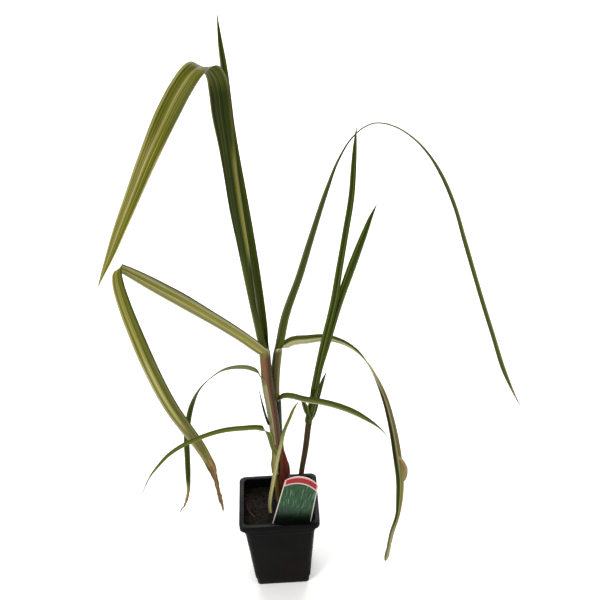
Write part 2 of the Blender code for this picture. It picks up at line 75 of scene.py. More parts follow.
# Label
LABEL_WIDTH = 43.4
LABEL_TOP_WIDTH = 37.8
LABEL_SIDE = 74.5
LABEL_ARCH = 9.5
LABEL_THICK = 0.7
LABEL_POINT = 6.0
LABEL_FOOT = (8.6, -35.4, 74.2)
LABEL_LEAN_BACK = 5.0
LABEL_LEAN_RIGHT = 14.4
LABEL_BOW = 0.8
LABEL_FRONT_FACING = -0.5

# Culms: x, y, z and radius of each station, from the foot up
CULMS = {
    "main_culm": (
        (2, 14, 76, 4.4), (0.5, 13.5, 120, 4.6), (0, 13, 138, 4.6), (0.2, 12.9, 143.5, 5.2),
        (0.5, 12.7, 148, 4.5), (1, 12.5, 156, 4.2), (1, 11, 191, 4.4), (-1.2, 10, 226, 4.7),
        (-3.8, 9, 257, 4.9), (-4.6, 8, 291, 4.8),
    ),
    "second_culm": (
        (4, 25, 76, 3.8), (3.6, 24, 116, 3.8), (3.4, 23.5, 146, 3.9), (2.6, 22, 182, 4.0),
        (2.9, 20.5, 218, 4.3), (3.2, 19, 239, 4.3), (4.8, 17.5, 261, 4.3), (9, 15, 293, 4.1),
    ),
    "side_culm": (
        (24, 30, 76, 2.9), (28, 29, 114, 3.1), (34, 27, 150, 3.4), (40, 23, 195, 3.6),
        (43, 20, 213, 3.8), (45, 18.5, 226, 3.2),
    ),
}

# Blades: stations of the midrib (x, y, z and the width there) from the collar to the tip, then
# the way that the right-hand edge points at a share of the length, seen from the root with the
# upper face up
BLADES = {
    "tall_arching_blade": (
        (
            (-6, 6.2, 293.5, 8.6), (-8.8, 3, 322, 7.8), (-12.8, -1, 355, 7), (-15, -4, 381, 8.2),
            (-18.5, -10, 430, 11.5), (-22.4, -17, 477.5, 13.5), (-25, -23, 522, 14.2),
            (-26.2, -26.5, 546, 15.7), (-28.2, -31.5, 580, 19.3), (-29, -35, 606, 20),
            (-30.5, -37.2, 617, 20.2), (-34.9, -42, 627.5, 21), (-39.4, -47, 632.4, 20.4),
            (-44.4, -53, 633, 20.2), (-49.3, -59, 630.7, 20.2), (-59.8, -68.3, 619.8, 20.5),
            (-69.8, -76.5, 605.7, 20.6), (-91.7, -88, 567, 17.4), (-112.4, -96, 526, 13.4),
            (-122.9, -100, 505, 11.4), (-133, -104, 483.7, 8.3), (-140, -107, 469.4, 5.1),
            (-144.2, -109, 461, 2.8), (-148.2, -111, 452.1, 0.5),
        ),
        (
            (0.0, (-0.98, 0.17, -0.06)), (0.5, (-0.99, 0.13, 0.03)), (0.539, (-0.99, 0.15, 0.0)),
            (0.559, (-0.93, 0.32, -0.15)), (0.581, (-0.8, 0.52, -0.31)),
            (0.596, (-0.87, 0.49, -0.07)), (0.61, (-0.89, 0.4, 0.22)),
            (0.625, (-0.91, 0.24, 0.32)), (0.656, (-0.92, 0.1, 0.37)), (0.69, (-0.89, 0.03, 0.45)),
            (1.0, (-0.89, 0.03, 0.45)),
        ),
    ),
    "top_spike_blade": (
        (
            (-3, 10.5, 293.5, 8.5), (-7, 12, 358.5, 10.6), (-12.6, 14, 428, 11),
            (-17.9, 15, 483.5, 10.6), (-23, 16, 546.5, 8.9), (-25.5, 18, 609.5, 7),
            (-27, 19, 632, 5), (-27.5, 20, 649.5, 2.2), (-27.5, 20, 660.6, 0.3),
        ),
        ((0.0, (1.0, 0.2, 0.1)), (1.0, (0.9, 0.5, 0.1))),
    ),
    "left_folded_blade": (
        (
            (-2.5, 2, 297, 10.5), (-8, -2, 305.5, 13.4), (-24.8, -8, 325.6, 14.2),
            (-62.6, -22, 366.3, 16.4), (-80.8, -29, 385.2, 17.2), (-98.4, -36.5, 403, 16.8),
            (-115.5, -44.5, 420.7, 15), (-125.4, -50, 431.4, 12.6), (-132.5, -54.2, 438.8, 9.8),
            (-136.3, -58.3, 442.8, 9.6), (-137.6, -60.5, 440, 11.3), (-138.1, -61.2, 434.8, 11.8),
            (-137.9, -60.9, 425.2, 12.4), (-135.8, -59.6, 407.7, 13.5), (-127.3, -54.6, 360.7, 15.7),
            (-112.1, -48.3, 296.7, 16.2), (-102.5, -44.5, 266.4, 15.8), (-90.8, -41, 237.9, 15),
            (-80.2, -38.5, 214.2, 13.2), (-73.3, -37, 195.1, 11.3), (-68.9, -36.2, 179.8, 10.2),
            (-67.4, -36, 171.3, 7), (-65.4, -36, 155.1, 5), (-63.3, -36, 136.6, 4.6),
            (-61.9, -36, 125.1, 2.7), (-61.1, -36, 117.8, 0.7),
        ),
        (
            (0.0, (-0.5, 0.1, -0.86)), (0.348, (-0.46, 0.12, -0.88)),
            (0.368, (-0.45, -0.06, -0.89)), (0.381, (-0.82, -0.16, -0.56)),
            (0.388, (-0.85, 0.0, -0.53)), (0.399, (-0.89, 0.03, -0.45)),
            (0.417, (-0.95, 0.07, -0.31)), (0.5, (-0.94, 0.08, -0.33)),
            (0.657, (-0.89, 0.06, -0.45)), (0.715, (-0.81, 0.06, -0.58)),
            (0.772, (-0.75, 0.07, -0.66)), (0.857, (-0.82, 0.03, -0.57)),
            (0.9, (-0.92, 0.0, -0.39)), (1.0, (-0.98, 0.0, -0.2)),
        ),
    ),
    "right_arching_blade": (
        (
            (9, 13, 285, 9), (12.5, 12.5, 305, 9.4), (17.5, 11, 330, 9.3), (38, 7, 392, 8.3),
            (49.5, 5, 429.5, 8), (69, 3, 488.5, 7.6), (79.5, 2, 516.5, 6.6),
            (92.5, 1, 538.5, 5.6), (104, 0, 549, 5), (114, -1, 553, 4.8),
            (123.5, -2, 552.5, 4.9), (136.5, -3, 547.5, 5.2), (152.5, -5, 535.5, 5.8),
            (166.5, -6, 518, 6), (177, -8, 500, 6), (189.5, -10, 470.5, 5.6),
            (202, -14, 427.5, 5.4), (221, -19, 361.5, 5.2), (233, -22, 322, 5.2),
            (246.5, -25, 278, 4.9), (256, -27, 254.5, 2.8), (266.3, -29, 232, 0.3),
        ),
        (
            (0.0, (-0.93, 0.0, 0.35)), (0.2, (-0.9, -0.3, 0.3)), (0.31, (-0.65, -0.7, 0.3)),
            (0.37, (-0.3, -0.88, 0.35)), (0.42, (0.0, -0.93, 0.37)), (0.5, (-0.15, -0.92, 0.25)),
            (0.58, (-0.6, -0.75, -0.05)), (0.7, (-0.8, -0.5, -0.3)), (1.0, (-0.9, -0.3, -0.3)),
        ),
    ),
    "right_drooping_blade": (
        (
            (12, 12, 297, 8), (23.5, 15, 303.5, 10.4), (42, 19, 303, 9.8), (63, 22, 301.5, 8.3),
            (79.5, 23, 294.5, 7.2), (90.5, 22, 287, 6.8), (98.5, 20, 279.5, 6.5),
            (104.5, 18, 272.5, 6.4), (113.5, 14, 254.5, 6.8), (124, 7, 226.5, 7.6),
            (129.5, 2, 202.5, 8.8), (136, -8, 156.5, 10), (138.1, -14, 129.5, 9.2),
            (137, -19, 105, 7.8), (135.1, -22, 88.5, 5.6), (126.9, -27, 61, 5.3),
            (123.4, -30, 44, 4.7), (120.4, -32, 31, 4.4), (119, -33, 27.2, 2.2),
        ),
        (
            (0.0, (0.2, -0.7, -0.7)), (0.2, (0.2, -0.8, -0.6)), (0.26, (0.1, -0.9, -0.3)),
            (0.3, (0.2, -0.93, 0.3)), (0.35, (0.6, -0.75, 0.3)), (0.42, (0.9, -0.35, 0.2)),
            (1.0, (1.0, -0.2, -0.2)),
        ),
    ),
    "right_low_blade": (
        (
            (7.5, 15, 228, 6), (10.5, 12.5, 235, 6.2), (16, 9, 238.6, 6.6), (24, 5, 239.6, 6.8),
            (33, 2, 238, 6.8), (54.5, -4, 236.3, 7.1), (74, -9, 232, 7), (90, -13, 225.5, 6.6),
            (102.5, -16, 218, 5), (112.5, -18, 210.5, 2.8), (126, -21, 194.5, 0.3),
        ),
        (
            (0.0, (-0.1, -0.95, -0.2)), (0.05, (0.1, -0.85, -0.5)), (0.15, (0.2, -0.75, -0.62)),
            (1.0, (0.1, -0.7, -0.7)),
        ),
    ),
    "left_small_blade": (
        (
            (-8.4, 6, 258, 5), (-10.6, 5.8, 268, 5.6), (-14.5, 6.5, 274, 6), (-21, 8, 277.3, 6),
            (-35, 10, 278.5, 5.6), (-49.5, 12, 275, 4.9), (-61, 14, 267.5, 4.4),
            (-69, 15, 260.5, 4.4), (-80, 17, 246, 5.2), (-88.5, 18, 228, 6.6),
            (-95, 19, 205.5, 6.8), (-99.5, 20, 177.5, 6.8), (-101, 20, 152, 6.6),
            (-102.6, 20, 126, 6), (-104.6, 20, 103.5, 4), (-109.5, 20, 86, 3),
            (-119, 20, 70.7, 0.4),
        ),
        (
            (0.0, (-0.6, 0.7, 0.0)), (0.06, (-0.3, 0.8, 0.5)), (0.17, (0.0, 0.95, 0.2)),
            (0.26, (0.0, 0.9, -0.42)), (0.33, (0.4, 0.8, -0.45)), (0.42, (0.85, 0.45, -0.25)),
            (0.52, (0.95, 0.3, -0.1)), (1.0, (0.9, 0.4, 0.0)),
        ),
    ),
    "left_low_blade": (
        (
            (-3, 8.5, 160, 5.5), (-4.6, 6.8, 178, 7.5), (-6.6, 5.2, 190, 9.4), (-10.2, 3.2, 198.5, 8.6),
            (-17.5, 0, 204, 6.6), (-31.5, -9, 211, 6.1), (-51.5, -22, 219.5, 5.6),
            (-68.5, -36, 225.5, 5), (-82, -47, 228, 4.9), (-98.5, -55, 225.3, 4.4),
            (-112.5, -60, 218, 3.7), (-122.5, -65, 209.7, 2.9), (-130.5, -69, 201.5, 1.8),
            (-145.4, -77, 172.7, 0.3),
        ),
        (
            (0.0, (-0.82, 0.57, 0.0)), (0.15, (-0.8, 0.6, 0.05)), (0.2, (-0.35, 0.6, 0.68)),
            (1.0, (-0.3, 0.6, 0.7)),
        ),
    ),
    "black_spike": (
        (
            (-5, 4, 203.5, 2.8), (-7.2, 2.5, 213, 2.7), (-10.6, 1, 233, 2.1),
            (-13.4, -1, 255, 0.5),
        ),
        (
            (0.0, (1.0, 0.0, 0.2)), (1.0, (1.0, 0.2, 0.2)),
        ),
    ),
    "khaki_shoot": (
        (
            (-9, -7, 79, 4), (-10, -8, 100.5, 4.2), (-9, -8, 109.5, 4.3), (-6, -8, 125.5, 4.4),
            (-2.5, -8, 142.5, 4.8), (2.2, -8, 166, 4.6), (7, -8, 185.5, 4.3), (11.5, -8, 204, 3.9),
            (18.5, -8, 221.5, 3.5), (23.5, -8, 233.5, 2.7), (29, -8, 242.3, 0.4),
        ),
        (
            (0.0, (0.9, -0.4, 0.0)), (1.0, (0.9, -0.3, -0.3)),
        ),
    ),
    "side_tall_blade": (
        (
            (44, 16, 228.5, 7.4), (46.3, 14, 242.5, 7), (50.5, 11, 266, 6.8),
            (57.5, 8, 300, 7.6), (71, 3, 360, 8.4), (77, 1, 397.5, 7.8), (83.5, 0, 435, 7.4),
            (91, -3, 484, 6.9), (93, -4, 510, 6.2), (94.8, -4.6, 534, 4), (96.6, -5, 552.2, 0.4),
        ),
        (
            (0.0, (1.0, 0.1, -0.2)), (0.5, (0.95, 0.3, -0.2)), (1.0, (0.9, 0.4, -0.1)),
        ),
    ),
    "side_second_blade": (
        (
            (47.2, 19, 228.5, 7), (48.5, 17.5, 240.5, 7), (52.5, 15, 263, 6.8),
            (61.5, 12, 297.5, 7.2), (77.5, 7, 357.5, 8.3), (89.5, 4, 395, 8.8),
            (97, 2, 417.5, 8), (104.5, 0, 439.5, 6.2), (110, -1, 455, 3.9),
            (116, -2, 469.3, 0.4),
        ),
        (
            (0.0, (-0.9, 0.35, 0.2)), (0.5, (-0.95, 0.1, 0.3)), (1.0, (-0.9, 0.0, 0.4)),
        ),
    ),
    "side_short_blade": (
        (
            (47.8, 22.8, 207, 4.2), (50, 23.3, 217, 5.2), (52.7, 24, 228.5, 5.8),
            (56.5, 24.5, 243, 5.2), (61.5, 25.5, 256.5, 0.4),
        ),
        (
            (0.0, (-0.64, -0.75, 0.1)), (0.4, (-0.85, -0.48, 0.2)), (1.0, (-0.85, -0.46, 0.25)),
        ),
    ),
    "side_left_bract": (
        (
            (38.5, 19, 199, 5), (36.6, 16, 212, 8), (34.4, 14, 223, 7), (31.5, 12.5, 231.8, 0.6),
        ),
        (
            (0.0, (-0.85, 0.45, 0.0)), (1.0, (-0.8, 0.5, 0.1)),
        ),
    ),
    "side_dark_flap": (
        ((44.3, 17.6, 200.5, 3), (47, 17, 210.5, 4.6), (49, 17, 219, 4.2), (51, 16.5, 226.8, 0.4)),
        ((0.0, (0.7, 0.6, -0.3)), (1.0, (0.8, 0.5, -0.3))),
    ),
    "torn_curl": (
        (
            (136, -8, 160.5, 2.5), (141, -9, 152, 5.4), (143.5, -10, 141, 7.2),
            (142, -11.5, 131, 6.4), (139, -13, 123, 2.2),
        ),
        ((0.0, (0.8, -0.55, 0.2)), (1.0, (0.75, -0.6, -0.25))),
    ),
    "dry_strand_high": (
        (
            (-33, -2, 90, 3.6), (-36, 1.5, 92.5, 4.2), (-38, 5.5, 95.5, 3),
            (-38.6, 9, 98.5, 0.5),
        ),
        (
            (0.0, (0.6, -0.4, 0.7)), (1.0, (0.5, -0.2, 0.85)),
        ),
    ),
    "dry_strand_low": (
        (
            (-28, -15, 90, 3), (-32, -10.5, 92, 3.7), (-35, -7, 94.5, 2.8),
            (-36.5, -4, 97.5, 0.5),
        ),
        (
            (0.0, (0.6, -0.4, 0.7)), (1.0, (0.5, -0.2, 0.85)),
        ),
    ),
}

# Sheaths: the culm that each wraps, the height of its foot, how far it stands off the culm,
# the degrees it wraps, the bearing of its midrib in degrees, and how far the blade takes to open
SHEATHS = {
    "tall_arching_blade": ("main_culm", 250, 0.3, 250, 258, 26),
    "top_spike_blade": ("main_culm", 262, 0.0, 220, 75, 34),
    "left_folded_blade": ("main_culm", 150, 0.75, 300, 228, 9),
    "right_arching_blade": ("second_culm", 236, 0.2, 250, 262, 30),
    "right_drooping_blade": ("second_culm", 150, 0.6, 225, 350, 9),
    "right_low_blade": ("second_culm", 150, 2.0, 110, 345, 7),
    "left_small_blade": ("main_culm", 172, 1.35, 95, 218, 9),
    "left_low_blade": ("main_culm", 128, 1.25, 110, 235, 12),
    "side_tall_blade": ("side_culm", 206, 0.1, 220, 80, 16),
    "side_second_blade": ("side_culm", 205, 0.3, 230, 250, 18),
    "side_short_blade": ("side_culm", 194, 0.75, 120, 320, 12),
    "side_left_bract": ("side_culm", 190, 0.95, 130, 240, 10),
}

# Blades whose edges are given margin to margin, not square to the midrib
SKEWED = ("tall_arching_blade", "left_folded_blade")

# What each blade stands for, its record slot, its finish and how deep its gutter is
BLADE_FACTS = {
    "tall_arching_blade": ("leaf_tall_arching", "striped_blade", "tall_arching_leaf", 0.13),
    "top_spike_blade": ("leaf_top_spike", "green_blade", "dark_spike_leaf", 0.3),
    "left_folded_blade": ("leaf_left_folded", "striped_blade", "folded_leaf", 0.12),
    "right_arching_blade": ("leaf_right_arching", "green_blade", "thin_arching_leaf", 0.16),
    "right_drooping_blade": ("leaf_right_drooping", "striped_blade", "drooping_leaf", 0.2),
    "right_low_blade": ("leaf_right_low", "green_blade", "low_leaf", 0.16),
    "left_small_blade": ("leaf_left_small", "green_blade", "small_leaf", 0.14),
    "left_low_blade": ("leaf_left_low", "green_blade", "low_left_leaf", 0.14),
    "black_spike": ("thin_spike", "dry_blade", "black_tip", 0.3),
    "khaki_shoot": ("front_shoot", "striped_blade", "khaki_leaf", 0.25),
    "side_tall_blade": ("side_blade_tall", "green_blade", "side_leaf", 0.16),
    "side_second_blade": ("side_blade_second", "green_blade", "side_leaf", 0.16),
    "side_short_blade": ("side_blade_short", "green_blade", "side_leaf", 0.2),
    "side_left_bract": ("side_bract", "green_blade", "side_leaf", 0.2),
    "side_dark_flap": ("side_flap", "green_blade", "dark_spike_leaf", 0.2),
    "torn_curl": ("", "striped_blade", "curled_flap", 0.5),
    "dry_strand_high": ("dry_strand_upper", "dry_blade", "dry_strand", 0.25),
    "dry_strand_low": ("dry_strand_lower", "dry_blade", "dry_strand", 0.25),
}
BLADE_THICK = 0.42
MARGIN_THICK = 0.16
KEEL = 0.35


def srgb(code):
    """A colour from its six-figure code, in the values that Blender's sockets take."""
    parts = [int(code[place:place + 2], 16) / 255 for place in (0, 2, 4)]
    return (*[p / 12.92 if p <= 0.04045 else ((p + 0.055) / 1.055) ** 2.4 for p in parts], 1.0)


def put(tree, kind, inputs=None, **settings):
    """Adds a node with its settings, and feeds its inputs with values or sockets."""
    made = tree.nodes.new(kind)
    for name, value in settings.items():
        setattr(made, name, value)
    for name, value in (inputs or {}).items():
        socket = made.inputs[name]
        if isinstance(value, bpy.types.NodeSocket):
            tree.links.new(value, socket)
        else:
            socket.default_value = value
    return made


def maths(tree, operation, *values, clamp=False):
    inputs = dict(enumerate(values))
    return put(tree, "ShaderNodeMath", inputs, operation=operation, use_clamp=clamp).outputs[0]


def mix_colour(tree, factor, first, second, blend="MIX"):
    inputs = {0: factor, 6: first, 7: second}
    made = put(tree, "ShaderNodeMix", inputs, data_type="RGBA", blend_type=blend)
    return made.outputs[2]


def spread(tree, value, low, high, to_low=0.0, to_high=1.0, smooth=True):
    """Turns a value between low and high into one between to_low and to_high."""
    inputs = {"Value": value, "From Min": low, "From Max": high, "To Min": to_low, "To Max": to_high}
    kind = "SMOOTHSTEP" if smooth else "LINEAR"
    return put(tree, "ShaderNodeMapRange", inputs, interpolation_type=kind).outputs["Result"]


def ramp(tree, value, stops, smooth=True):
    made = put(tree, "ShaderNodeValToRGB", {"Fac": value})
    made.color_ramp.interpolation = "EASE" if smooth else "LINEAR"
    marks = made.color_ramp.elements
    while len(marks) < len(stops):
        marks.new(0.5)
    for mark, (place, colour) in zip(marks, stops):
        mark.position = place
        mark.color = srgb(colour)
    return made.outputs["Color"]


def noise_of(tree, vector, scale, detail=3.0, roughness=0.55, lacunarity=2.0):
    inputs = {
        "Vector": vector, "Scale": scale, "Detail": detail, "Roughness": roughness,
        "Lacunarity": lacunarity,
    }
    return put(tree, "ShaderNodeTexNoise", inputs).outputs["Fac"]


def new_group(name, takes, gives):
    """A shader node group with named sockets; takes and gives are (name, kind, value)."""
    group = bpy.data.node_groups.new(name, "ShaderNodeTree")
    for socket, kind, value in takes:
        made = group.interface.new_socket(name=socket, in_out="INPUT", socket_type=kind)
        made.default_value = value
    for socket, kind in gives:
        group.interface.new_socket(name=socket, in_out="OUTPUT", socket_type=kind)
    entry = group.nodes.new("NodeGroupInput")
    leave = group.nodes.new("NodeGroupOutput")
    return group, entry.outputs, leave.inputs


def use_group(tree, group, inputs=None):
    made = tree.nodes.new("ShaderNodeGroup")
    made.node_tree = group
    for name, value in (inputs or {}).items():
        if isinstance(value, bpy.types.NodeSocket):
            tree.links.new(value, made.inputs[name])
        else:
            made.inputs[name].default_value = value
    return made.outputs


# How deep the colour of leaf and culm is under the studio light
TISSUE_DEPTH = 0.66

FLOAT = "NodeSocketFloat"
COLOUR = "NodeSocketColor"
VECTOR = "NodeSocketVector"


def leaf_place_group():
    """From a blade's own map: how far across and along, swaying a little, and both as one."""
    group, takes, gives = new_group(
        "leaf_place", [("Sway", FLOAT, 0.012), ("Seed", FLOAT, 0.0)],
        [("Across", FLOAT), ("Along", FLOAT), ("Fibre", VECTOR)],
    )
    tree = group
    own = put(tree, "ShaderNodeUVMap", uv_map="blade").outputs["UV"]
    parts = put(tree, "ShaderNodeSeparateXYZ", {"Vector": own}).outputs
    across = maths(tree, "PINGPONG", parts["X"], 1.0)
    drift = put(tree, "ShaderNodeCombineXYZ", {"X": takes["Seed"], "Y": parts["Y"]}).outputs[0]
    sway = maths(tree, "SUBTRACT", noise_of(tree, drift, 9.0, 1.0), 0.5)
    swayed = maths(tree, "MULTIPLY_ADD", sway, maths(tree, "MULTIPLY", takes["Sway"], 2.0), across)
    fibre = put(
        tree, "ShaderNodeCombineXYZ", {"X": swayed, "Y": parts["Y"], "Z": takes["Seed"]}
    ).outputs[0]
    for name, value in (("Across", swayed), ("Along", parts["Y"]), ("Fibre", fibre)):
        tree.links.new(value, gives[name])
    return group


def fibre_lines_group():
    """Lines that run along a blade: broad stripes, fine veins and a soft mottle."""
    group, takes, gives = new_group(
        "fibre_lines",
        [("Fibre", VECTOR, (0, 0, 0)), ("Across", FLOAT, 0.0), ("Lines", FLOAT, 14.0),
         ("Stretch", FLOAT, 1.2)],
        [("Mask", FLOAT), ("Fine", FLOAT), ("Height", FLOAT), ("Mottle", FLOAT)],
    )
    tree = group
    made = {}
    for name, factor, low, high in (("Mask", 1.0, 0.36, 0.64), ("Fine", 2.9, 0.38, 0.62)):
        across = maths(tree, "MULTIPLY", takes["Lines"], factor)
        scale = put(tree, "ShaderNodeCombineXYZ", {"X": across, "Y": takes["Stretch"], "Z": 1.0})
        stretched = put(
            tree, "ShaderNodeVectorMath", {0: takes["Fibre"], 1: scale.outputs[0]},
            operation="MULTIPLY",
        ).outputs["Vector"]
        made[name] = spread(tree, noise_of(tree, stretched, 1.0, 2.0, 0.6), low, high)
    ridges = maths(tree, "SINE", maths(tree, "MULTIPLY", takes["Across"], 115.0))
    made["Height"] = maths(tree, "MULTIPLY_ADD", ridges, 0.35, made["Fine"])
    coarse = put(
        tree, "ShaderNodeVectorMath", {0: takes["Fibre"], 1: (5.0, 14.0, 1.0)}, operation="MULTIPLY"
    ).outputs["Vector"]
    made["Mottle"] = noise_of(tree, coarse, 1.0, 4.0, 0.62)
    for name, value in made.items():
        tree.links.new(value, gives[name])
    return group


def shaded_colour(tree, colour, fibre, contrast):
    """Darkens and lightens a colour along the fibres, and deepens it."""
    broad = spread(tree, fibre["Mask"], 0.0, 1.0, 1.0 - contrast, 1.0 + contrast * 0.7, smooth=False)
    fine = spread(tree, fibre["Fine"], 0.0, 1.0, 0.76, 1.16, smooth=False)
    clouds = spread(tree, fibre["Mottle"], 0.25, 0.75, 0.84, 1.14, smooth=False)
    shade = maths(tree, "MULTIPLY", maths(tree, "MULTIPLY", broad, fine), clouds)
    shade = maths(tree, "MULTIPLY", shade, TISSUE_DEPTH)
    grey = put(tree, "ShaderNodeCombineColor", {"Red": shade, "Green": shade, "Blue": shade})
    colour = mix_colour(tree, 1.0, colour, grey.outputs[0], "MULTIPLY")
    rich = put(tree, "ShaderNodeHueSaturation", {"Saturation": 1.12, "Color": colour})
    return rich.outputs["Color"]


def withered_group():
    """Turns a colour dry from a share of the length on, with ragged flecks running ahead."""
    group, takes, gives = new_group(
        "withered",
        [("Colour", COLOUR, (0, 0, 0, 1)), ("Along", FLOAT, 0.0), ("Across", FLOAT, 0.5),
         ("Fibre", VECTOR, (0, 0, 0)), ("Start", FLOAT, 0.9), ("End", FLOAT, 0.97),
         ("Dry Colour", COLOUR, (0.1, 0.05, 0.02, 1)), ("Dark Colour", COLOUR, (0.03, 0.015, 0.01, 1))],
        [("Colour", COLOUR), ("Dry", FLOAT)],
    )
    tree = group
    scale = put(
        tree, "ShaderNodeVectorMath", {0: takes["Fibre"], 1: (9.0, 22.0, 1.0)}, operation="MULTIPLY"
    ).outputs["Vector"]
    ragged = maths(tree, "SUBTRACT", noise_of(tree, scale, 1.0, 3.0, 0.65), 0.5)
    rim = maths(tree, "ABSOLUTE", maths(tree, "SUBTRACT", takes["Across"], 0.5))
    ahead = maths(tree, "MULTIPLY_ADD", rim, 0.05, maths(tree, "MULTIPLY", ragged, 0.12))
    place = maths(tree, "ADD", takes["Along"], ahead)
    dry = put(
        tree, "ShaderNodeMapRange",
        {"Value": place, "From Min": takes["Start"], "From Max": takes["End"]},
        interpolation_type="SMOOTHSTEP",
    ).outputs["Result"]
    patchy = spread(tree, ragged, -0.12, 0.16)
    dead = mix_colour(tree, patchy, takes["Dark Colour"], takes["Dry Colour"])
    tree.links.new(mix_colour(tree, dry, takes["Colour"], dead), gives["Colour"])
    tree.links.new(dry, gives["Dry"])
    return group


def surface_grain_group():
    """Fine grain and broad clouds on Object coordinates, for the pot, compost and label."""
    group, takes, gives = new_group(
        "surface_grain", [("Fine", FLOAT, 900.0), ("Broad", FLOAT, 30.0)],
        [("Fine", FLOAT), ("Broad", FLOAT), ("Place", VECTOR)],
    )
    tree = group
    place = put(tree, "ShaderNodeTexCoord").outputs["Object"]
    tree.links.new(noise_of(tree, place, takes["Fine"], 3.0, 0.6), gives["Fine"])
    tree.links.new(noise_of(tree, place, takes["Broad"], 4.0, 0.6), gives["Broad"])
    tree.links.new(place, gives["Place"])
    return group


GROUPS = {
    "place": leaf_place_group(),
    "lines": fibre_lines_group(),
    "withered": withered_group(),
    "grain": surface_grain_group(),
}


def new_material(name):
    material = bpy.data.materials.new(name)
    material.use_nodes = True
    tree = material.node_tree
    return material, tree, tree.nodes["Principled BSDF"]


def bump(tree, shader, height, strength, distance):
    made = put(
        tree, "ShaderNodeBump", {"Height": height, "Strength": strength, "Distance": distance}
    )
    tree.links.new(made.outputs["Normal"], shader.inputs["Normal"])


def leaf_material(
    name, zones, sheath=None, dry=(0.93, 0.985), dry_colours=("8a6238", "4a2f1c"), lines=9.0,
    seed=0.0, contrast=0.32, gloss=0.42, shine=0.09, sway=0.012,
):
    """Bands of colour across the blade, fine lines and a dry tip. Each zone after the first takes
    over between its two shares of the blade's length."""
    material, tree, shader = new_material(name)
    place = use_group(tree, GROUPS["place"], {"Sway": sway, "Seed": seed})
    fibre = use_group(
        tree, GROUPS["lines"],
        {"Fibre": place["Fibre"], "Across": place["Across"], "Lines": lines},
    )
    colour = ramp(tree, place["Across"], zones[0])
    for start, end, bands in zones[1:]:
        later = spread(tree, place["Along"], start, end)
        colour = mix_colour(tree, later, colour, ramp(tree, place["Across"], bands))
    if sheath:
        low = spread(tree, place["Along"], 0.012, -0.012)
        colour = mix_colour(tree, low, colour, ramp(tree, place["Across"], sheath))
    colour = shaded_colour(tree, colour, fibre, contrast)
    dried = use_group(
        tree, GROUPS["withered"],
        {"Colour": colour, "Along": place["Along"], "Across": place["Across"],
         "Fibre": place["Fibre"], "Start": dry[0], "End": dry[1],
         "Dry Colour": srgb(dry_colours[0]), "Dark Colour": srgb(dry_colours[1])},
    )
    tree.links.new(dried["Colour"], shader.inputs["Base Color"])
    worn = maths(tree, "MULTIPLY_ADD", dried["Dry"], 0.3, gloss)
    rough = maths(tree, "MULTIPLY_ADD", fibre["Mottle"], 0.14, maths(tree, "SUBTRACT", worn, 0.07))
    tree.links.new(rough, shader.inputs["Roughness"])
    shader.inputs["Specular IOR Level"].default_value = shine
    bump(tree, shader, fibre["Height"], 0.35, 0.00012)
    return material


# The colours of living and dry tissue that the stripes are made of
TISSUE = {
    "cream": "d8d5ae", "butter": "c2bd80", "pale": "b0af84", "straw": "a29e60", "tan": "9c9066",
    "khaki": "8b8748", "drab": "6e6844", "olive": "696a2a", "leaf": "6a7238", "sage": "777c54",
    "fresh": "5a6a24", "moss": "505722", "green": "3a4516", "deep": "2d390c", "dusk": "38310f",
    "bark": "4a4028", "brown": "6a4e3a", "rose": "7e6048",
}


def stripes(text):
    """Bands across a blade, from a text such as "0 cream 12 olive": a percentage and a tissue."""
    words = text.split()
    return tuple((int(place) / 100, TISSUE[name]) for place, name in zip(words[::2], words[1::2]))


def tall_leaf_finish():
    """The wide arching leaf: bright green low down, dark green above, partly painted shade on the rising
    limb, and straw past its crest, partly painted sheen on the hanging limb.
    """
    return leaf_material(
        "tall_arching_leaf",
        (
            stripes("0 moss 60 moss 80 sage 100 pale"),
            # Zones up to the crest: the deep and dark green is partly the leaf's own colour and partly
            # painted shade on the face turned from the light
            (0.05, 0.13, stripes("0 deep 40 green 70 moss 100 sage")),
            (0.19, 0.25, stripes("0 butter 10 straw 17 khaki 26 moss 38 deep 66 green 94 deep 100 moss")),
            (0.4, 0.46, stripes("0 khaki 12 moss 22 deep 48 deep 52 moss 57 green 67 moss 75 deep "
                                "90 deep 95 olive 100 cream")),
            (0.535, 0.57, stripes("0 cream 8 khaki 16 moss 38 moss 50 olive 60 moss 88 olive 100 straw")),
            # Zones past the crest: the pale straw, olive and cream are partly the leaf's own stripes and
            # partly painted sheen on the face turned up to the light
            (0.6, 0.64, stripes("0 cream 7 olive 34 olive 47 straw 58 khaki 72 olive 85 olive "
                                "93 straw 100 pale")),
            (0.72, 0.78, stripes("0 cream 9 straw 17 olive 27 olive 36 khaki 48 khaki 57 butter "
                                 "64 straw 80 khaki 90 straw 100 cream")),
        ),
        seed=1.3, lines=15.0, contrast=0.5, sheath=stripes("0 khaki 30 moss 60 moss 100 drab"),
        dry=(0.985, 1.02), dry_colours=("a59a68", "6b5f36"),
    )


def folded_leaf_finish():
    """The striped leaf that folds over on the left: cream lower margin, straw and olive bands."""
    return leaf_material(
        "folded_leaf",
        (
            # The bark and deep band at the first margin of each zone is painted shade, for the edge that
            # turns down into shadow; the bands after it are the leaf's own stripes
            stripes("0 bark 6 drab 13 pale 36 khaki 48 khaki 58 butter 76 straw 88 pale 95 cream "
                    "100 cream"),
            (0.375, 0.39, stripes("0 bark 8 moss 20 olive 38 olive 56 khaki 65 straw 84 khaki "
                                  "93 straw 100 cream")),
            (0.55, 0.62, stripes("0 deep 6 moss 13 sage 25 olive 40 olive 55 straw 68 butter "
                                 "86 khaki 94 pale 100 cream")),
            (0.72, 0.8, stripes("0 bark 20 khaki 34 drab 46 straw 60 drab 80 straw 100 cream")),
        ),
        seed=3.7, lines=12.0, dry=(0.862, 0.885), contrast=0.4,
        sheath=stripes("0 bark 15 bark 30 brown 48 rose 58 khaki 66 pale 100 khaki"),
        dry_colours=("8e7a4c", "4c3018"),
    )


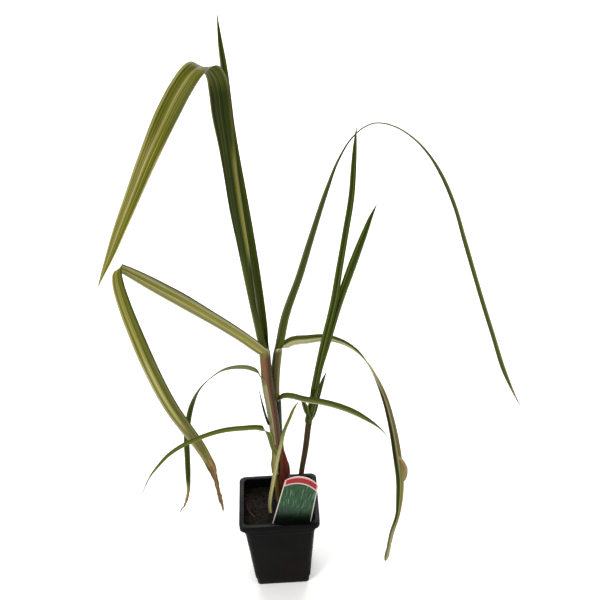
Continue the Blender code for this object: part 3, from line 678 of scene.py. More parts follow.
def leaf_finishes():
    """The finish of each blade, by name; bands run from the left margin to the right one."""
    green_sheath = stripes("0 leaf 20 leaf 50 khaki 75 drab 100 bark")
    return {
        "tall_arching_leaf": tall_leaf_finish(),
        "folded_leaf": folded_leaf_finish(),
        "dark_spike_leaf": leaf_material(
            "dark_spike_leaf", (stripes("0 pale 14 pale 28 sage 40 green 62 green 100 moss"),),
            seed=2.1, dry=(0.97, 1.01), sheath=green_sheath, dry_colours=("5b5a34", "33321c"),
        ),
        "thin_arching_leaf": leaf_material(
            "thin_arching_leaf",
            (stripes("0 straw 16 leaf 34 moss 62 moss 100 sage"),
             (0.25, 0.4, stripes("0 straw 22 sage 50 moss 80 moss 100 sage"))),
            seed=4.2, lines=6.0, dry=(0.965, 0.99), sheath=green_sheath,
            dry_colours=("9a8a62", "5c4a30"),
        ),
        "drooping_leaf": leaf_material(
            "drooping_leaf",
            (stripes("0 leaf 16 moss 34 moss 44 pale 58 cream 70 pale 94 cream 100 cream"),
             (0.3, 0.42, stripes("0 bark 16 dusk 38 dusk 50 drab 62 pale 76 drab 100 tan")),
             (0.62, 0.7, stripes("0 sage 14 moss 30 green 50 green 60 pale 68 khaki 84 khaki 100 pale")),
             (0.84, 0.9, stripes("0 drab 30 drab 60 pale 100 tan"))),
            seed=5.9, lines=8.0, dry=(1.1, 1.2), sheath=green_sheath,
        ),
        "low_leaf": leaf_material(
            "low_leaf", (stripes("0 moss 30 moss 50 leaf 74 sage 90 pale 100 cream"),),
            seed=6.4, lines=6.0, dry=(0.9, 0.97), sheath=stripes("0 dusk 50 green 100 dusk"),
            dry_colours=("8c8050", "5a5030"),
        ),
        "small_leaf": leaf_material(
            "small_leaf",
            (stripes("0 pale 16 sage 100 sage"),
             (0.34, 0.44, stripes("0 moss 40 green 70 moss 100 drab")),
             (0.8, 0.88, stripes("0 tan 25 butter 60 tan 100 tan"))),
            seed=7.7, lines=6.0, dry=(0.84, 0.92), sheath=stripes("0 cream 20 pale 60 tan 100 tan"),
            dry_colours=("9a7c4c", "5c4026"),
        ),
        "low_left_leaf": leaf_material(
            "low_left_leaf", (stripes("0 straw 18 leaf 50 leaf 80 moss 100 sage"),),
            seed=8.8, lines=6.0, dry=(0.78, 0.93),
            sheath=stripes("0 pale 30 tan 70 khaki 100 drab"), dry_colours=("94845a", "604c30"),
        ),
        "black_tip": leaf_material(
            "black_tip", (((0.0, "1c1a12"), (0.5, "24221a"), (1.0, "1a1810")),),
            seed=9.1, dry=(1.2, 1.3),
        ),
        "khaki_leaf": leaf_material(
            "khaki_leaf",
            (stripes("0 pale 25 butter 50 cream 75 butter 100 khaki"),
             (0.55, 0.8, stripes("0 khaki 30 leaf 60 khaki 100 straw"))),
            seed=10.3, lines=6.0, dry=(0.97, 1.0), dry_colours=("8c8050", "5a5030"),
        ),
        "side_leaf": leaf_material(
            "side_leaf",
            (stripes("0 leaf 10 fresh 30 moss 42 deep 60 green 76 fresh 88 green 100 leaf"),
             (0.3, 0.6, stripes("0 sage 12 fresh 35 green 55 deep 72 fresh 88 green 100 sage"))),
            seed=11.6, lines=8.0, dry=(0.985, 1.02), sheath=stripes("0 moss 50 moss 100 green"),
            dry_colours=("6b6a3c", "44421f"),
        ),
        "dry_strand": leaf_material(
            "dry_strand", (((0.0, "4a3a30"), (0.5, "6a5448"), (1.0, "40322a")),),
            seed=12.4, dry=(0.8, 1.1), dry_colours=("54443a", "34281f"), gloss=0.6,
        ),
        "curled_flap": leaf_material(
            "curled_flap",
            (((0.0, "8a8c6c"), (0.3, "b07c50"), (0.6, "a8825a"), (1.0, "b7ad89")),),
            seed=13.2, dry=(1.1, 1.2), gloss=0.6,
        ),
    }


def culm_material(name, low, high, heights, seed, streak=0.35):
    """Bands round the culm that change from its foot to its top, between two heights."""
    material, tree, shader = new_material(name)
    place = use_group(tree, GROUPS["place"], {"Sway": 0.02, "Seed": seed})
    fibre = use_group(
        tree, GROUPS["lines"],
        {"Fibre": place["Fibre"], "Across": place["Across"], "Lines": 10.0, "Stretch": 4.0},
    )
    rise = spread(tree, place["Along"], *heights)
    colour = mix_colour(
        tree, rise, ramp(tree, place["Across"], low), ramp(tree, place["Across"], high)
    )
    colour = shaded_colour(tree, colour, fibre, streak)
    tree.links.new(colour, shader.inputs["Base Color"])
    tree.links.new(
        spread(tree, fibre["Mottle"], 0.2, 0.8, 0.38, 0.58, smooth=False),
        shader.inputs["Roughness"],
    )
    shader.inputs["Specular IOR Level"].default_value = 0.1
    bump(tree, shader, fibre["Height"], 0.4, 0.00015)
    return material


def smooth_route(stations, count):
    """Evenly spaced points on a smooth line through the stations, and its length."""
    points = np.array(stations, dtype=float)
    gaps = np.linalg.norm(np.diff(points[:, :3], axis=0), axis=1)
    slopes = np.diff(points, axis=0) / gaps[:, None]
    inner = (slopes[:-1] * gaps[1:, None] + slopes[1:] * gaps[:-1, None]) / (
        gaps[:-1] + gaps[1:]
    )[:, None]
    tangents = np.vstack((slopes[:1], inner, slopes[-1:]))
    t = np.linspace(0, 1, 16, endpoint=False)[:, None]
    pieces = []
    for index, gap in enumerate(gaps):
        pieces.append(
            (2 * t**3 - 3 * t**2 + 1) * points[index]
            + (t**3 - 2 * t**2 + t) * gap * tangents[index]
            + (3 * t**2 - 2 * t**3) * points[index + 1]
            + (t**3 - t**2) * gap * tangents[index + 1]
        )
    fine = np.vstack((*pieces, points[-1:]))
    run = np.concatenate(([0.0], np.cumsum(np.linalg.norm(np.diff(fine[:, :3], axis=0), axis=1))))
    even = np.linspace(0, run[-1], count)
    rows = np.stack([np.interp(even, run, fine[:, axis]) for axis in range(fine.shape[1])], 1)
    return rows, run[-1]


def unit(vectors):
    return vectors / np.linalg.norm(vectors, axis=-1, keepdims=True)


def skin(name, rings, marks):
    """A closed piece from rings of points in millimetres, drawn in to a point at both ends.
    Its map runs 0 to 2 round each ring, and follows marks along the piece."""
    rows, columns = rings.shape[:2]
    places = np.concatenate((rings, rings[:, :1]), axis=1)
    places[0] = rings[0].mean(axis=0)
    places[-1] = rings[-1].mean(axis=0)
    shape = bmesh.new()
    own_map = shape.loops.layers.uv.new("blade")
    bmesh.ops.create_grid(shape, x_segments=columns, y_segments=rows - 1, size=1.0)
    for vert, place in zip(shape.verts, (places * MM).reshape(-1, 3).tolist()):
        vert.co = place
    for face in shape.faces:
        for loop in face.loops:
            row, column = divmod(loop.vert.index, columns + 1)
            loop[own_map].uv = (2.0 * column / columns, marks[row])
    bmesh.ops.remove_doubles(shape, verts=shape.verts, dist=1e-7)
    bmesh.ops.recalc_face_normals(shape, faces=shape.faces)
    mesh = bpy.data.meshes.new(name)
    shape.to_mesh(mesh)
    shape.free()
    mesh.shade_smooth()
    piece = bpy.data.objects.new(name, mesh)
    bpy.context.scene.collection.objects.link(piece)
    return piece


def finish_piece(piece, material, slot, *nodes):
    piece.data.materials.clear()
    piece.data.materials.append(material)
    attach(piece, "root")
    if nodes:
        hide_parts(*nodes)
    return piece


def culm_line(culm, heights):
    """The culm's centre and radius at these heights, carried on straight past its top."""
    rows, _ = smooth_route(CULMS[culm], 240)
    z = rows[:, 2]
    inside = np.stack([np.interp(heights, z, rows[:, axis]) for axis in (0, 1, 3)], 1)
    over = np.maximum(heights - z[-1], 0.0)[:, None]
    lean = (rows[-1, :2] - rows[-12, :2]) / (z[-1] - z[-12])
    centres = np.column_stack((inside[:, :2] + over * lean, heights))
    return centres, inside[:, 2]


def wrapped_rows(facts, heights, sides):
    """Inner and outer points of a sheath round its culm at these heights."""
    culm, _, stand_off, wrap, bearing, _ = facts
    centres, radii = culm_line(culm, heights)
    middle = math.radians(bearing)
    outward = np.array((math.cos(middle), math.sin(middle), 0.0))
    across = np.cross((0.0, 0.0, 1.0), -outward)
    angles = sides * math.radians(wrap) / 2
    ray = np.cos(angles)[:, None] * outward + np.sin(angles)[:, None] * across
    inner = (radii + stand_off)[:, None, None] * ray[None]
    outer = (radii + stand_off + 0.45)[:, None, None] * ray[None]
    return centres[:, None] + inner, centres[:, None] + outer


def blade_surfaces(name, rows, sides):
    """Upper and lower points of the free blade, and the share of the length of each row."""
    stations, edges = BLADES[name]
    gutter = BLADE_FACTS[name][3]
    path, length = smooth_route(stations, rows)
    shares = np.linspace(0, 1, rows)
    keys = [share for share, _ in edges]
    wanted = np.stack([np.interp(shares, keys, [edge[axis] for _, edge in edges]) for axis in range(3)], 1)
    window = np.hanning(max(5, rows // (60 if name in SKEWED else 14)) | 1)
    half = len(window) // 2
    padded = np.pad(wanted, ((half, half), (0, 0)), mode="edge")
    wanted = np.stack(
        [np.convolve(padded[:, axis], window / window.sum(), mode="valid") for axis in range(3)], 1
    )
    centres = path[:, :3]
    along = unit(np.gradient(centres, axis=0))
    if name in SKEWED:
        across = unit(wanted)
    else:
        across = unit(wanted - np.sum(wanted * along, axis=1)[:, None] * along)
    upward = unit(np.cross(across, along))
    widths = np.maximum(path[:, 3], 0.3)[:, None]
    steep = 0.6 * (np.sqrt(sides**2 + 0.012) - math.sqrt(0.012)) + 0.4 * sides**2
    rng = random.Random(name)
    phase = [rng.uniform(0, 6.28) for _ in range(4)]
    run = shares[:, None] * length
    wave = np.sin(run / 17 + phase[0]) * np.sin(run / 41 + phase[1]) * (sides[None] > 0)
    wave = wave + np.sin(run / 21 + phase[2]) * np.sin(run / 33 + phase[3]) * (sides[None] < 0)
    ripple = 0.022 * widths * wave * np.abs(sides[None]) ** 1.5
    lift = gutter * widths * (steep[None] - 0.5) + ripple
    thick = np.minimum(1.0, widths / 6 + 0.12)
    body = MARGIN_THICK + (BLADE_THICK - MARGIN_THICK) * (1 - sides[None] ** 2)
    veins = 0.045 * np.cos(sides[None] * math.pi * 7) * (1 - sides[None] ** 4)
    top = lift + thick * (body / 2 + veins)
    keel = KEEL * np.exp(-((sides[None] / 0.09) ** 2))
    base = lift - thick * (body / 2 + veins + keel)
    flat = centres[:, None] + (sides[None] * widths / 2)[..., None] * across[:, None]
    upper = flat + top[..., None] * upward[:, None]
    lower = flat + base[..., None] * upward[:, None]
    return upper, lower, shares, length


def blade_rings(name, columns, rows):
    """Rings of the whole leaf: its sheath from the foot up, then the blade to its tip."""
    sides = np.linspace(-1, 1, columns + 1)
    upper, lower, shares, length = blade_surfaces(name, rows, sides)
    if name in SHEATHS:
        facts = SHEATHS[name]
        start = BLADES[name][0][0][2]
        centres, radii = culm_line(facts[0], np.array([float(start)]))
        opening = facts[5]
        run = shares * length
        inner, outer = wrapped_rows(facts, start + np.minimum(run, 3 * opening), sides)
        ease = np.clip(run / opening, 0, 1)
        ease = (ease * ease * (3 - 2 * ease))[:, None, None]
        upper = inner * (1 - ease) + upper * ease
        lower = outer * (1 - ease) + lower * ease
        steps = max(4, int((start - facts[1]) / 2.5))
        heights = np.linspace(facts[1], start, steps, endpoint=False)
        inner, outer = wrapped_rows(facts, heights, sides)
        upper = np.concatenate((inner, upper))
        lower = np.concatenate((outer, lower))
        shares = np.concatenate(((heights - start) / length, shares))
    rings = np.concatenate((upper, lower[:, -2:0:-1]), axis=1)
    return rings, shares


def roughen_tip(rings, shares, start, amount, seed):
    """Crumples the dry end of a leaf."""
    for row in np.nonzero(shares > start)[0]:
        reach = (shares[row] - start) / (1 - start)
        for column in range(rings.shape[1]):
            spot = Vector(rings[row, column]) / 4.0 + Vector((seed, 0, 0))
            rings[row, column] += np.array(noise.noise_vector(spot)) * amount * min(1, 3 * reach)


# Columns across, rows along, where the leaf's end crumples and by how much
BLADE_MESH = {
    "tall_arching_blade": (30, 420, 0.97, 0.2),
    "top_spike_blade": (20, 200, 1.0, 0.0),
    "left_folded_blade": (26, 420, 0.865, 0.8),
    "right_arching_blade": (16, 280, 0.97, 0.3),
    "right_drooping_blade": (18, 240, 0.9, 0.4),
    "right_low_blade": (14, 110, 0.95, 0.3),
    "left_small_blade": (14, 170, 0.85, 0.8),
    "left_low_blade": (14, 130, 0.85, 0.5),
    "black_spike": (8, 40, 0.2, 0.15),
    "khaki_shoot": (12, 120, 0.97, 0.2),
    "side_tall_blade": (18, 200, 0.98, 0.2),
    "side_second_blade": (18, 160, 0.98, 0.2),
    "side_short_blade": (12, 50, 0.98, 0.1),
    "side_left_bract": (12, 40, 0.98, 0.1),
    "side_dark_flap": (12, 30, 0.98, 0.1),
    "torn_curl": (14, 60, 0.05, 0.35),
    "dry_strand_high": (8, 40, 0.1, 0.6),
    "dry_strand_low": (8, 40, 0.1, 0.6),
}


def make_blades(finishes):
    for name, (node, slot, finish, _) in BLADE_FACTS.items():
        columns, rows, crumple, amount = BLADE_MESH[name]
        rings, shares = blade_rings(name, columns, rows)
        if amount:
            roughen_tip(rings, shares, crumple, amount, float(rows))
        finish_piece(skin(name, rings, shares), finishes[finish], slot, *([node] if node else []))


def round_rings(path, radii, columns, ribs=0.0, rib_count=14):
    """Rings round a line of points, a little ribbed."""
    along = unit(np.gradient(path, axis=0))
    side = unit(np.cross(along, (0.0, 1.0, 0.0)))
    other = np.cross(side, along)
    angles = np.linspace(0, 2 * math.pi, columns, endpoint=False)
    swell = 1 + ribs * np.cos(rib_count * angles)
    reach = radii[:, None] * swell[None]
    return (
        path[:, None]
        + (reach * np.cos(angles))[..., None] * side[:, None]
        + (reach * np.sin(angles))[..., None] * other[:, None]
    )


def make_culms():
    khaki = ((0.0, "6a5c34"), (0.3, "7c6c40"), (0.6, "57482a"), (1.0, "6a5a36"))
    pink = ((0.0, "7d5d46"), (0.35, "846648"), (0.7, "6f5434"), (1.0, "76583c"))
    olive = ((0.0, "6f6c46"), (0.3, "a39c68"), (0.6, "8a8450"), (1.0, "5c582e"))
    earth = ((0.0, "4a342a"), (0.4, "5d4638"), (0.7, "44302a"), (1.0, "3a2818"))
    brown = ((0.0, "4a3a26"), (0.4, "56462c"), (0.7, "362a14"), (1.0, "423420"))
    facts = {
        "main_culm": ("main_stem", khaki, pink, (0.25, 0.5), 21.0),
        "second_culm": ("second_stem", olive, olive, (0.2, 0.6), 22.0),
        "side_culm": ("side_stem", earth, brown, (0.1, 0.6), 23.0),
    }
    for name, (node, low, high, heights, seed) in facts.items():
        rows, _ = smooth_route(CULMS[name], 110)
        rings = round_rings(rows[:, :3], rows[:, 3], 36, 0.012)
        material = culm_material(name, low, high, heights, seed)
        piece = skin(name, rings, np.linspace(0, 1, len(rows)))
        finish_piece(piece, material, "sheath", node)


def make_bud():
    """A pointed bud of three tight scales, each standing out of the one below."""
    dark = ((0.0, "38180e"), (0.3, "502018"), (0.6, "3c160e"), (1.0, "2c1008"))
    red = ((0.0, "54281c"), (0.35, "74382c"), (0.7, "5a281e"), (1.0, "441c12"))
    material = culm_material("bud_scales", dark, red, (0.35, 0.8), 24.0, 0.45)
    stations = (
        (8.5, 3, 76, 4.6), (8.7, 3, 111, 5.4), (9, 3.5, 132, 5.6), (9.2, 4, 146, 5.0),
        (8.8, 4.5, 158, 3.2), (8.5, 5, 170.5, 0.6),
    )
    rows, _ = smooth_route(stations, 90)
    rings = round_rings(rows[:, :3], rows[:, 3], 32, 0.02, 9)
    finish_piece(skin("red_bud_core", rings, np.linspace(0, 1, 90)), material, "bud_skin", "red_bud")
    for index, (top, bearing, tilt) in enumerate(((150, 30, 0.5), (134, 200, 0.55), (112, 310, 0.6))):
        heights = np.linspace(78, top, 40)
        centres = np.stack([np.interp(heights, rows[:, 2], rows[:, axis]) for axis in range(3)], 1)
        radii = np.interp(heights, rows[:, 2], rows[:, 3]) + 0.25 + 0.2 * index
        sides = np.linspace(-1, 1, 21)
        closing = np.clip((top - heights) / 22, 0, 1) ** 0.6
        angles = sides[None] * 2.2 * closing[:, None] + math.radians(bearing)
        ray = np.stack((np.cos(angles), np.sin(angles), np.zeros_like(angles)), 2)
        inner = centres[:, None] + radii[:, None, None] * ray
        outer = centres[:, None] + (radii[:, None, None] + 0.3) * ray
        rings = np.concatenate((inner, outer[:, -2:0:-1]), axis=1)
        piece = skin(f"bud_scale_{index}", rings, np.linspace(0.2, 0.9, 40))
        finish_piece(piece, material, "bud_skin")


def rounded_square(shape, half, corner, steps):
    made = bmesh.ops.create_grid(shape, x_segments=1, y_segments=1, size=half)
    bmesh.ops.bevel(
        shape, geom=made["verts"], offset=corner, segments=steps, profile=0.5,
        affect="VERTICES", material=-1,
    )


def raise_ring(shape, half_was, half, height_was, height):
    border = [edge for edge in shape.edges if len(edge.link_faces) < 2]
    made = bmesh.ops.extrude_edge_only(shape, edges=border)
    verts = [item for item in made["geom"] if isinstance(item, bmesh.types.BMVert)]
    growth = half / half_was
    bmesh.ops.scale(shape, vec=(growth, growth, 1.0), verts=verts)
    bmesh.ops.translate(shape, vec=(0, 0, height - height_was), verts=verts)


def pot_rings():
    """Half width and height of each ring of the wall's outer side, from the foot to the lip."""
    band_height = POT_HEIGHT - POT_BAND_DEPTH
    shelf = POT_HEIGHT - POT_WALL
    lip_half = POT_RIM_HALF - POT_WALL
    rise = (POT_NECK_HALF - POT_FOOT_HALF) / POT_HEIGHT
    return (
        (POT_FOOT_HALF, 0.0),
        (POT_FOOT_HALF + rise * POT_FOOT_HEIGHT, POT_FOOT_HEIGHT),
        (POT_FOOT_HALF + rise * POT_FOOT_HEIGHT + 0.9, POT_FOOT_HEIGHT + 0.8),
        (POT_NECK_HALF - 1.6, band_height - 1.0),
        (POT_NECK_HALF - 0.8, band_height),
        (POT_NECK_HALF, shelf),
        (lip_half, shelf),
        (lip_half - 0.2, POT_HEIGHT - POT_LIP_DEPTH),
    )


def bake_modifiers(piece):
    """Applies a piece's modifiers to its mesh."""
    graph = bpy.context.evaluated_depsgraph_get()
    mesh = bpy.data.meshes.new_from_object(piece.evaluated_get(graph))
    piece.modifiers.clear()
    piece.data = mesh
    mesh.name = piece.name


def make_pot():
    shape = bmesh.new()
    rings = pot_rings()
    rounded_square(shape, POT_FOOT_HALF, POT_CORNER, POT_CORNER_STEPS)
    for (half_was, height_was), (half, height) in zip(rings, rings[1:]):
        raise_ring(shape, half_was, half, height_was, height)
    bmesh.ops.recalc_face_normals(shape, faces=shape.faces)
    if shape.faces[0].normal.z > 0:
        bmesh.ops.reverse_faces(shape, faces=shape.faces)
    bmesh.ops.scale(shape, vec=(MM, MM, MM), verts=shape.verts)
    mesh = bpy.data.meshes.new("nursery_pot")
    shape.to_mesh(mesh)
    shape.free()
    pot = bpy.data.objects.new("nursery_pot", mesh)
    bpy.context.scene.collection.objects.link(pot)
    wall = pot.modifiers.new("wall", "SOLIDIFY")
    wall.thickness = POT_WALL * MM
    wall.offset = -1.0
    wall.use_even_offset = True
    cutters = []
    for side_x in (-1, 1):
        for side_y in (-1, 1):
            bpy.ops.mesh.primitive_cylinder_add(
                vertices=40, radius=DRAIN_HOLE_RADIUS * MM, depth=6 * POT_WALL * MM,
                location=(side_x * DRAIN_HOLE_PLACE * MM, side_y * DRAIN_HOLE_PLACE * MM, 0),
            )
            cutters.append(bpy.context.object)
            cut = pot.modifiers.new("drain", "BOOLEAN")
            cut.operation = "DIFFERENCE"
            cut.object = cutters[-1]
    edges = pot.modifiers.new("edges", "BEVEL")
    edges.width = POT_EDGE * MM
    edges.segments = 3
    edges.limit_method = "ANGLE"
    edges.angle_limit = math.radians(28)
    edges.harden_normals = True
    bake_modifiers(pot)
    for cutter in cutters:
        bpy.data.objects.remove(cutter)
    pot.data.shade_smooth()
    pot.data.set_sharp_from_angle(angle=math.radians(40))
    finish_piece(pot, pot_material(), "black_plastic", "pot")


def pot_material():
    """Thin black plastic: a soft moulded sheen, pale scuffs, dust low on the walls."""
    material, tree, shader = new_material("black_pot_plastic")
    grain = use_group(tree, GROUPS["grain"], {"Fine": 1400.0, "Broad": 38.0})
    parts = put(tree, "ShaderNodeSeparateXYZ", {"Vector": grain["Place"]}).outputs
    low = spread(tree, parts["Z"], 0.062, 0.012)
    patches = spread(tree, grain["Broad"], 0.42, 0.68)
    dust = maths(tree, "MULTIPLY", low, patches)
    colour = mix_colour(tree, patches, srgb("050505"), srgb("0c0c0c"))
    colour = mix_colour(tree, maths(tree, "MULTIPLY", dust, 0.6), colour, srgb("1a130c"))
    specks = spread(tree, grain["Fine"], 0.66, 0.8)
    colour = mix_colour(tree, maths(tree, "MULTIPLY", specks, 0.25), colour, srgb("5a564e"))
    tree.links.new(colour, shader.inputs["Base Color"])
    rough = maths(tree, "MULTIPLY_ADD", patches, 0.18, 0.34)
    tree.links.new(maths(tree, "MULTIPLY_ADD", dust, 0.25, rough), shader.inputs["Roughness"])
    shader.inputs["Specular IOR Level"].default_value = 0.05
    height = maths(tree, "MULTIPLY_ADD", grain["Broad"], 2.0, maths(tree, "MULTIPLY", grain["Fine"], 0.25))
    bump(tree, shader, height, 0.35, 0.0004)
    return material


def soil_material():
    material, tree, shader = new_material("damp_compost")
    grain = use_group(tree, GROUPS["grain"], {"Fine": 1500.0, "Broad": 260.0})
    colour = mix_colour(tree, spread(tree, grain["Broad"], 0.3, 0.7), srgb("060402"), srgb("150f08"))
    bits = spread(tree, grain["Fine"], 0.6, 0.72)
    colour = mix_colour(tree, maths(tree, "MULTIPLY", bits, 0.5), colour, srgb("4a3826"))
    shader.inputs["Specular IOR Level"].default_value = 0.12
    tree.links.new(colour, shader.inputs["Base Color"])
    tree.links.new(spread(tree, grain["Broad"], 0.3, 0.7, 0.65, 0.95), shader.inputs["Roughness"])
    height = maths(tree, "ADD", grain["Fine"], maths(tree, "MULTIPLY", grain["Broad"], 2.0))
    bump(tree, shader, height, 0.8, 0.0008)
    return material


def soil_spot(x, y, half):
    """Moves a point of a square in to the square's rounded corner."""
    core = half - SOIL_CORNER
    inner = Vector((max(-core, min(core, x)), max(-core, min(core, y))))
    reach = Vector((x, y)) - inner
    if reach.length > SOIL_CORNER:
        reach *= SOIL_CORNER / reach.length
    return inner + reach


def soil_height(x, y):
    """Height of the compost's lumpy top."""
    broad = SOIL_LUMP * noise.noise(Vector((x, y, 3.0)) / 11.0)
    lumps = 1.2 * noise.noise(Vector((x, y, 9.0)) / 3.6)
    grit = 0.45 * noise.noise(Vector((x, y, 17.0)) / 1.3)
    return SOIL_TOP + broad + lumps + grit


def make_soil(material):
    shape = bmesh.new()
    bmesh.ops.create_grid(shape, x_segments=SOIL_CELLS, y_segments=SOIL_CELLS, size=SOIL_TOP_HALF)
    for vert in shape.verts:
        spot = soil_spot(vert.co.x, vert.co.y, SOIL_TOP_HALF)
        vert.co = (spot.x, spot.y, soil_height(spot.x, spot.y))
    border = [edge for edge in shape.edges if edge.is_boundary]
    made = bmesh.ops.extrude_edge_only(shape, edges=border)
    verts = [item for item in made["geom"] if isinstance(item, bmesh.types.BMVert)]
    for vert in verts:
        share = SOIL_FLOOR_HALF / SOIL_TOP_HALF
        vert.co = (vert.co.x * share, vert.co.y * share, SOIL_FLOOR)
    border = [edge for edge in shape.edges if edge.is_boundary]
    bmesh.ops.contextual_create(shape, geom=border)
    bmesh.ops.recalc_face_normals(shape, faces=shape.faces)
    bmesh.ops.scale(shape, vec=(MM, MM, MM), verts=shape.verts)
    mesh = bpy.data.meshes.new("compost")
    shape.to_mesh(mesh)
    shape.free()
    mesh.shade_smooth()
    soil = bpy.data.objects.new("compost", mesh)
    bpy.context.scene.collection.objects.link(soil)
    finish_piece(soil, material, "compost", "potting_soil")


def make_crumbs(material):
    """Loose crumbs and bark bits on the compost, as one mesh."""
    rng = random.Random(7)
    shape = bmesh.new()
    reach = SOIL_TOP_HALF - 1.5
    for _ in range(CRUMBS):
        x, y = rng.uniform(-reach, reach), rng.uniform(-reach, reach)
        spot = soil_spot(x, y, reach)
        size = rng.uniform(0.35, 1.0) if rng.random() < 0.86 else rng.uniform(1.0, 1.9)
        turn = Matrix.Rotation(rng.uniform(0, 6.28), 4, (rng.random(), rng.random(), rng.random() + 0.1))
        flat = Matrix.Diagonal((size, size * rng.uniform(0.5, 0.9), size * rng.uniform(0.35, 0.8), 1))
        lift = soil_height(spot.x, spot.y) + 0.25 * size
        place = Matrix.Translation((spot.x, spot.y, lift)) @ turn @ flat
        made = bmesh.ops.create_icosphere(shape, subdivisions=1, radius=1.0, matrix=place)
        for vert in made["verts"]:
            vert.co += Vector([rng.uniform(-0.16, 0.16) * size for _ in range(3)])
    bmesh.ops.scale(shape, vec=(MM, MM, MM), verts=shape.verts)
    mesh = bpy.data.meshes.new("compost_crumbs")
    shape.to_mesh(mesh)
    shape.free()
    crumbs = bpy.data.objects.new("compost_crumbs", mesh)
    bpy.context.scene.collection.objects.link(crumbs)
    finish_piece(crumbs, material, "compost")


def label_point(across, up):
    """A point of the flat tag: across from -1 to 1, up from 0 at its foot to 1 at its top."""
    top_half = LABEL_TOP_WIDTH / 2
    radius = (top_half**2 + LABEL_ARCH**2) / (2 * LABEL_ARCH)
    low = LABEL_POINT * max(0.0, abs(across) - 0.5) * 2
    high = LABEL_SIDE + LABEL_ARCH - radius * (1 - math.cos(math.asin(across * top_half / radius)))
    height = low + (high - low) * up
    wide = min(1.0, max(0.0, (height - LABEL_POINT) / (LABEL_SIDE - LABEL_POINT)))
    half = LABEL_WIDTH / 2 + (top_half - LABEL_WIDTH / 2) * wide
    return across * half, height


def label_matrix():
    lean_right = Matrix.Rotation(math.radians(-LABEL_LEAN_RIGHT), 4, "Z")
    stand_up = Matrix.Rotation(math.radians(90 - LABEL_LEAN_BACK), 4, "X")
    return Matrix.Translation(Vector(LABEL_FOOT)) @ stand_up @ lean_right


def make_label(material):
    """The tag as one bowed sheet with its thickness; its map measures millimetres on the tag."""
    columns, rows = 40, 80
    shape = bmesh.new()
    own_map = shape.loops.layers.uv.new("print")
    bmesh.ops.create_grid(shape, x_segments=columns, y_segments=rows, size=1.0)
    flat = []
    for vert in shape.verts:
        x, y = label_point(vert.co.x, (vert.co.y + 1) / 2)
        flat.append((x, y))
        vert.co = (x, y, LABEL_BOW * (1 - (x / LABEL_WIDTH * 2) ** 2) * (y / LABEL_SIDE))
    for face in shape.faces:
        for loop in face.loops:
            x, y = flat[loop.vert.index]
            loop[own_map].uv = (x / 100.0 + 0.5, y / 100.0)
    bmesh.ops.transform(shape, matrix=Matrix.Scale(MM, 4) @ label_matrix(), verts=shape.verts)
    mesh = bpy.data.meshes.new("blank_tag")
    shape.to_mesh(mesh)
    shape.free()
    mesh.shade_smooth()
    tag = bpy.data.objects.new("blank_tag", mesh)
    bpy.context.scene.collection.objects.link(tag)
    wall = tag.modifiers.new("thickness", "SOLIDIFY")
    wall.thickness = LABEL_THICK * MM
    wall.offset = 0.0
    bake_modifiers(tag)
    tag.data.set_sharp_from_angle(angle=math.radians(40))
    finish_piece(tag, material, "label_plastic", "plant_label")
    tag.data.materials.append(label_back_material())
    for face in tag.data.polygons:
        face.material_index = 0 if face.normal.y < LABEL_FRONT_FACING else 1


def label_material():
    """A white card with a plain red band under its arch and a green field of simple blades."""
    material, tree, shader = new_material("printed_tag")
    own = put(tree, "ShaderNodeUVMap", uv_map="print").outputs["UV"]
    parts = put(tree, "ShaderNodeSeparateXYZ", {"Vector": own}).outputs
    x = maths(tree, "MULTIPLY", maths(tree, "SUBTRACT", parts["X"], 0.5), 100.0)
    y = maths(tree, "MULTIPLY", parts["Y"], 100.0)
    top_half = LABEL_TOP_WIDTH / 2
    radius = (top_half**2 + LABEL_ARCH**2) / (2 * LABEL_ARCH)
    drop = maths(tree, "MULTIPLY", maths(tree, "MULTIPLY", x, x), 1 / (2 * radius))
    below = maths(tree, "SUBTRACT", LABEL_SIDE + LABEL_ARCH, maths(tree, "ADD", y, drop))
    half = spread(tree, y, LABEL_POINT, LABEL_SIDE, LABEL_WIDTH / 2, top_half, smooth=False)
    side = maths(tree, "SUBTRACT", half, maths(tree, "ABSOLUTE", x))
    grain = use_group(tree, GROUPS["grain"], {"Fine": 700.0, "Broad": 90.0})
    white = mix_colour(tree, grain["Broad"], srgb("b8b2aa"), srgb("d0ccc4"))
    pink = mix_colour(tree, spread(tree, below, 14.0, 3.0), white, srgb("c89a98"))
    fan_x = maths(tree, "DIVIDE", x, maths(tree, "ADD", y, 6.0))
    fan = put(tree, "ShaderNodeCombineXYZ", {"X": fan_x, "Y": maths(tree, "MULTIPLY", y, 0.0012)})
    blades = noise_of(tree, fan.outputs[0], 60.0, 3.0, 0.6)
    field = ramp(
        tree, blades,
        ((0.0, "081c0c"), (0.42, "0e2c16"), (0.5, "224a2c"), (0.56, "14381e"), (0.66, "5a8060"),
         (1.0, "86a488")),
    )
    dark = spread(tree, y, 46.0, 26.0)
    field = mix_colour(tree, dark, field, srgb("0a120a"))
    inside = maths(tree, "MULTIPLY", spread(tree, side, 0.8, 1.1), spread(tree, below, 9.6, 10.0))
    colour = mix_colour(tree, inside, pink, field)
    band = maths(
        tree, "MULTIPLY",
        maths(tree, "MULTIPLY", spread(tree, below, 1.7, 2.1), spread(tree, below, 8.6, 8.2)),
        spread(tree, side, 1.5, 1.9),
    )
    red = mix_colour(tree, grain["Broad"], srgb("7c0c14"), srgb("9c1820"))
    colour = mix_colour(tree, band, colour, red)
    tree.links.new(colour, shader.inputs["Base Color"])
    tree.links.new(spread(tree, grain["Broad"], 0.3, 0.7, 0.28, 0.42), shader.inputs["Roughness"])
    shader.inputs["Specular IOR Level"].default_value = 0.3
    bump(tree, shader, grain["Fine"], 0.1, 0.0001)
    return material


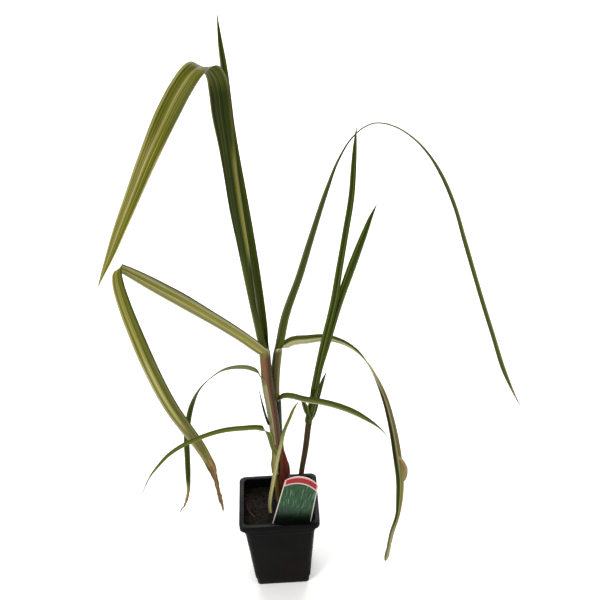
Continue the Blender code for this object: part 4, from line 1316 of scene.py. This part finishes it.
def label_back_material():
    material, tree, shader = new_material("plain_tag_back")
    grain = use_group(tree, GROUPS["grain"], {"Fine": 700.0, "Broad": 60.0})
    colour = mix_colour(tree, grain["Broad"], srgb("cfcbc2"), srgb("e8e5dd"))
    place = put(tree, "ShaderNodeSeparateXYZ", {"Vector": grain["Place"]}).outputs
    soiled = maths(tree, "MULTIPLY", spread(tree, place["Z"], 0.098, 0.088), grain["Broad"])
    colour = mix_colour(tree, soiled, colour, srgb("4c4030"))
    tree.links.new(colour, shader.inputs["Base Color"])
    tree.links.new(spread(tree, grain["Broad"], 0.3, 0.7, 0.35, 0.5), shader.inputs["Roughness"])
    bump(tree, shader, grain["Fine"], 0.1, 0.0001)
    return material


def make_stage():
    shape = bmesh.new()
    bmesh.ops.create_grid(shape, x_segments=1, y_segments=1, size=9.0)
    mesh = bpy.data.meshes.new("pale_floor")
    shape.to_mesh(mesh)
    shape.free()
    floor = bpy.data.objects.new("pale_floor", mesh)
    floor.location = (0, 0, -0.0003)
    bpy.context.scene.collection.objects.link(floor)
    material, tree, shader = new_material("pale_floor")
    shader.inputs["Base Color"].default_value = (0.9, 0.9, 0.89, 1.0)
    shader.inputs["Roughness"].default_value = 0.9
    mesh.materials.append(material)


def add_light(name, place, aim, size, power, colour):
    light = bpy.data.lights.new(name, "AREA")
    light.size = size
    light.energy = power
    light.color = colour
    lamp = bpy.data.objects.new(name, light)
    lamp.location = place
    lamp.rotation_euler = (Vector(aim) - Vector(place)).to_track_quat("-Z", "Y").to_euler()
    bpy.context.scene.collection.objects.link(lamp)


def make_lights():
    world = bpy.data.worlds.new("studio")
    bpy.context.scene.world = world
    world.use_nodes = True
    sky = world.node_tree.nodes["Background"]
    sky.inputs["Color"].default_value = (1.0, 1.0, 1.0, 1.0)
    sky.inputs["Strength"].default_value = 0.6
    middle = (0.03, 0.0, 0.3)
    add_light("key_softbox", (-1.1, -1.3, 2.2), middle, 0.9, 42.0, (1.0, 0.985, 0.95))
    add_light("fill_softbox", (1.6, -1.2, 1.2), middle, 1.4, 10.0, (0.96, 0.98, 1.0))
    add_light("rear_softbox", (0.4, 1.8, 1.9), middle, 1.4, 18.0, (1.0, 1.0, 1.0))
    add_light("floor_softbox", (0.0, 3.2, 2.6), (0.0, 3.2, 0.0), 3.2, 150.0, (1.0, 1.0, 1.0))


def make_camera():
    camera = bpy.data.cameras.new("camera")
    camera.lens = CAMERA_LENS
    camera.sensor_width = 36.0
    camera.clip_start = 0.01
    eye = bpy.data.objects.new("camera", camera)
    place = Vector(CAMERA_PLACE) * MM
    look = (Vector(CAMERA_AIM) * MM - place).to_track_quat("-Z", "Y").to_matrix().to_4x4()
    roll = Matrix.Rotation(math.radians(CAMERA_ROLL), 4, "Z")
    eye.matrix_world = Matrix.Translation(place) @ look @ roll
    bpy.context.scene.collection.objects.link(eye)
    bpy.context.scene.camera = eye


def build():
    bpy.context.scene.view_settings.view_transform = "Standard"
    make_camera()
    make_stage()
    make_lights()
    make_pot()
    soil = soil_material()
    make_soil(soil)
    make_crumbs(soil)
    make_label(label_material())
    make_culms()
    make_bud()
    make_blades(leaf_finishes())


build()
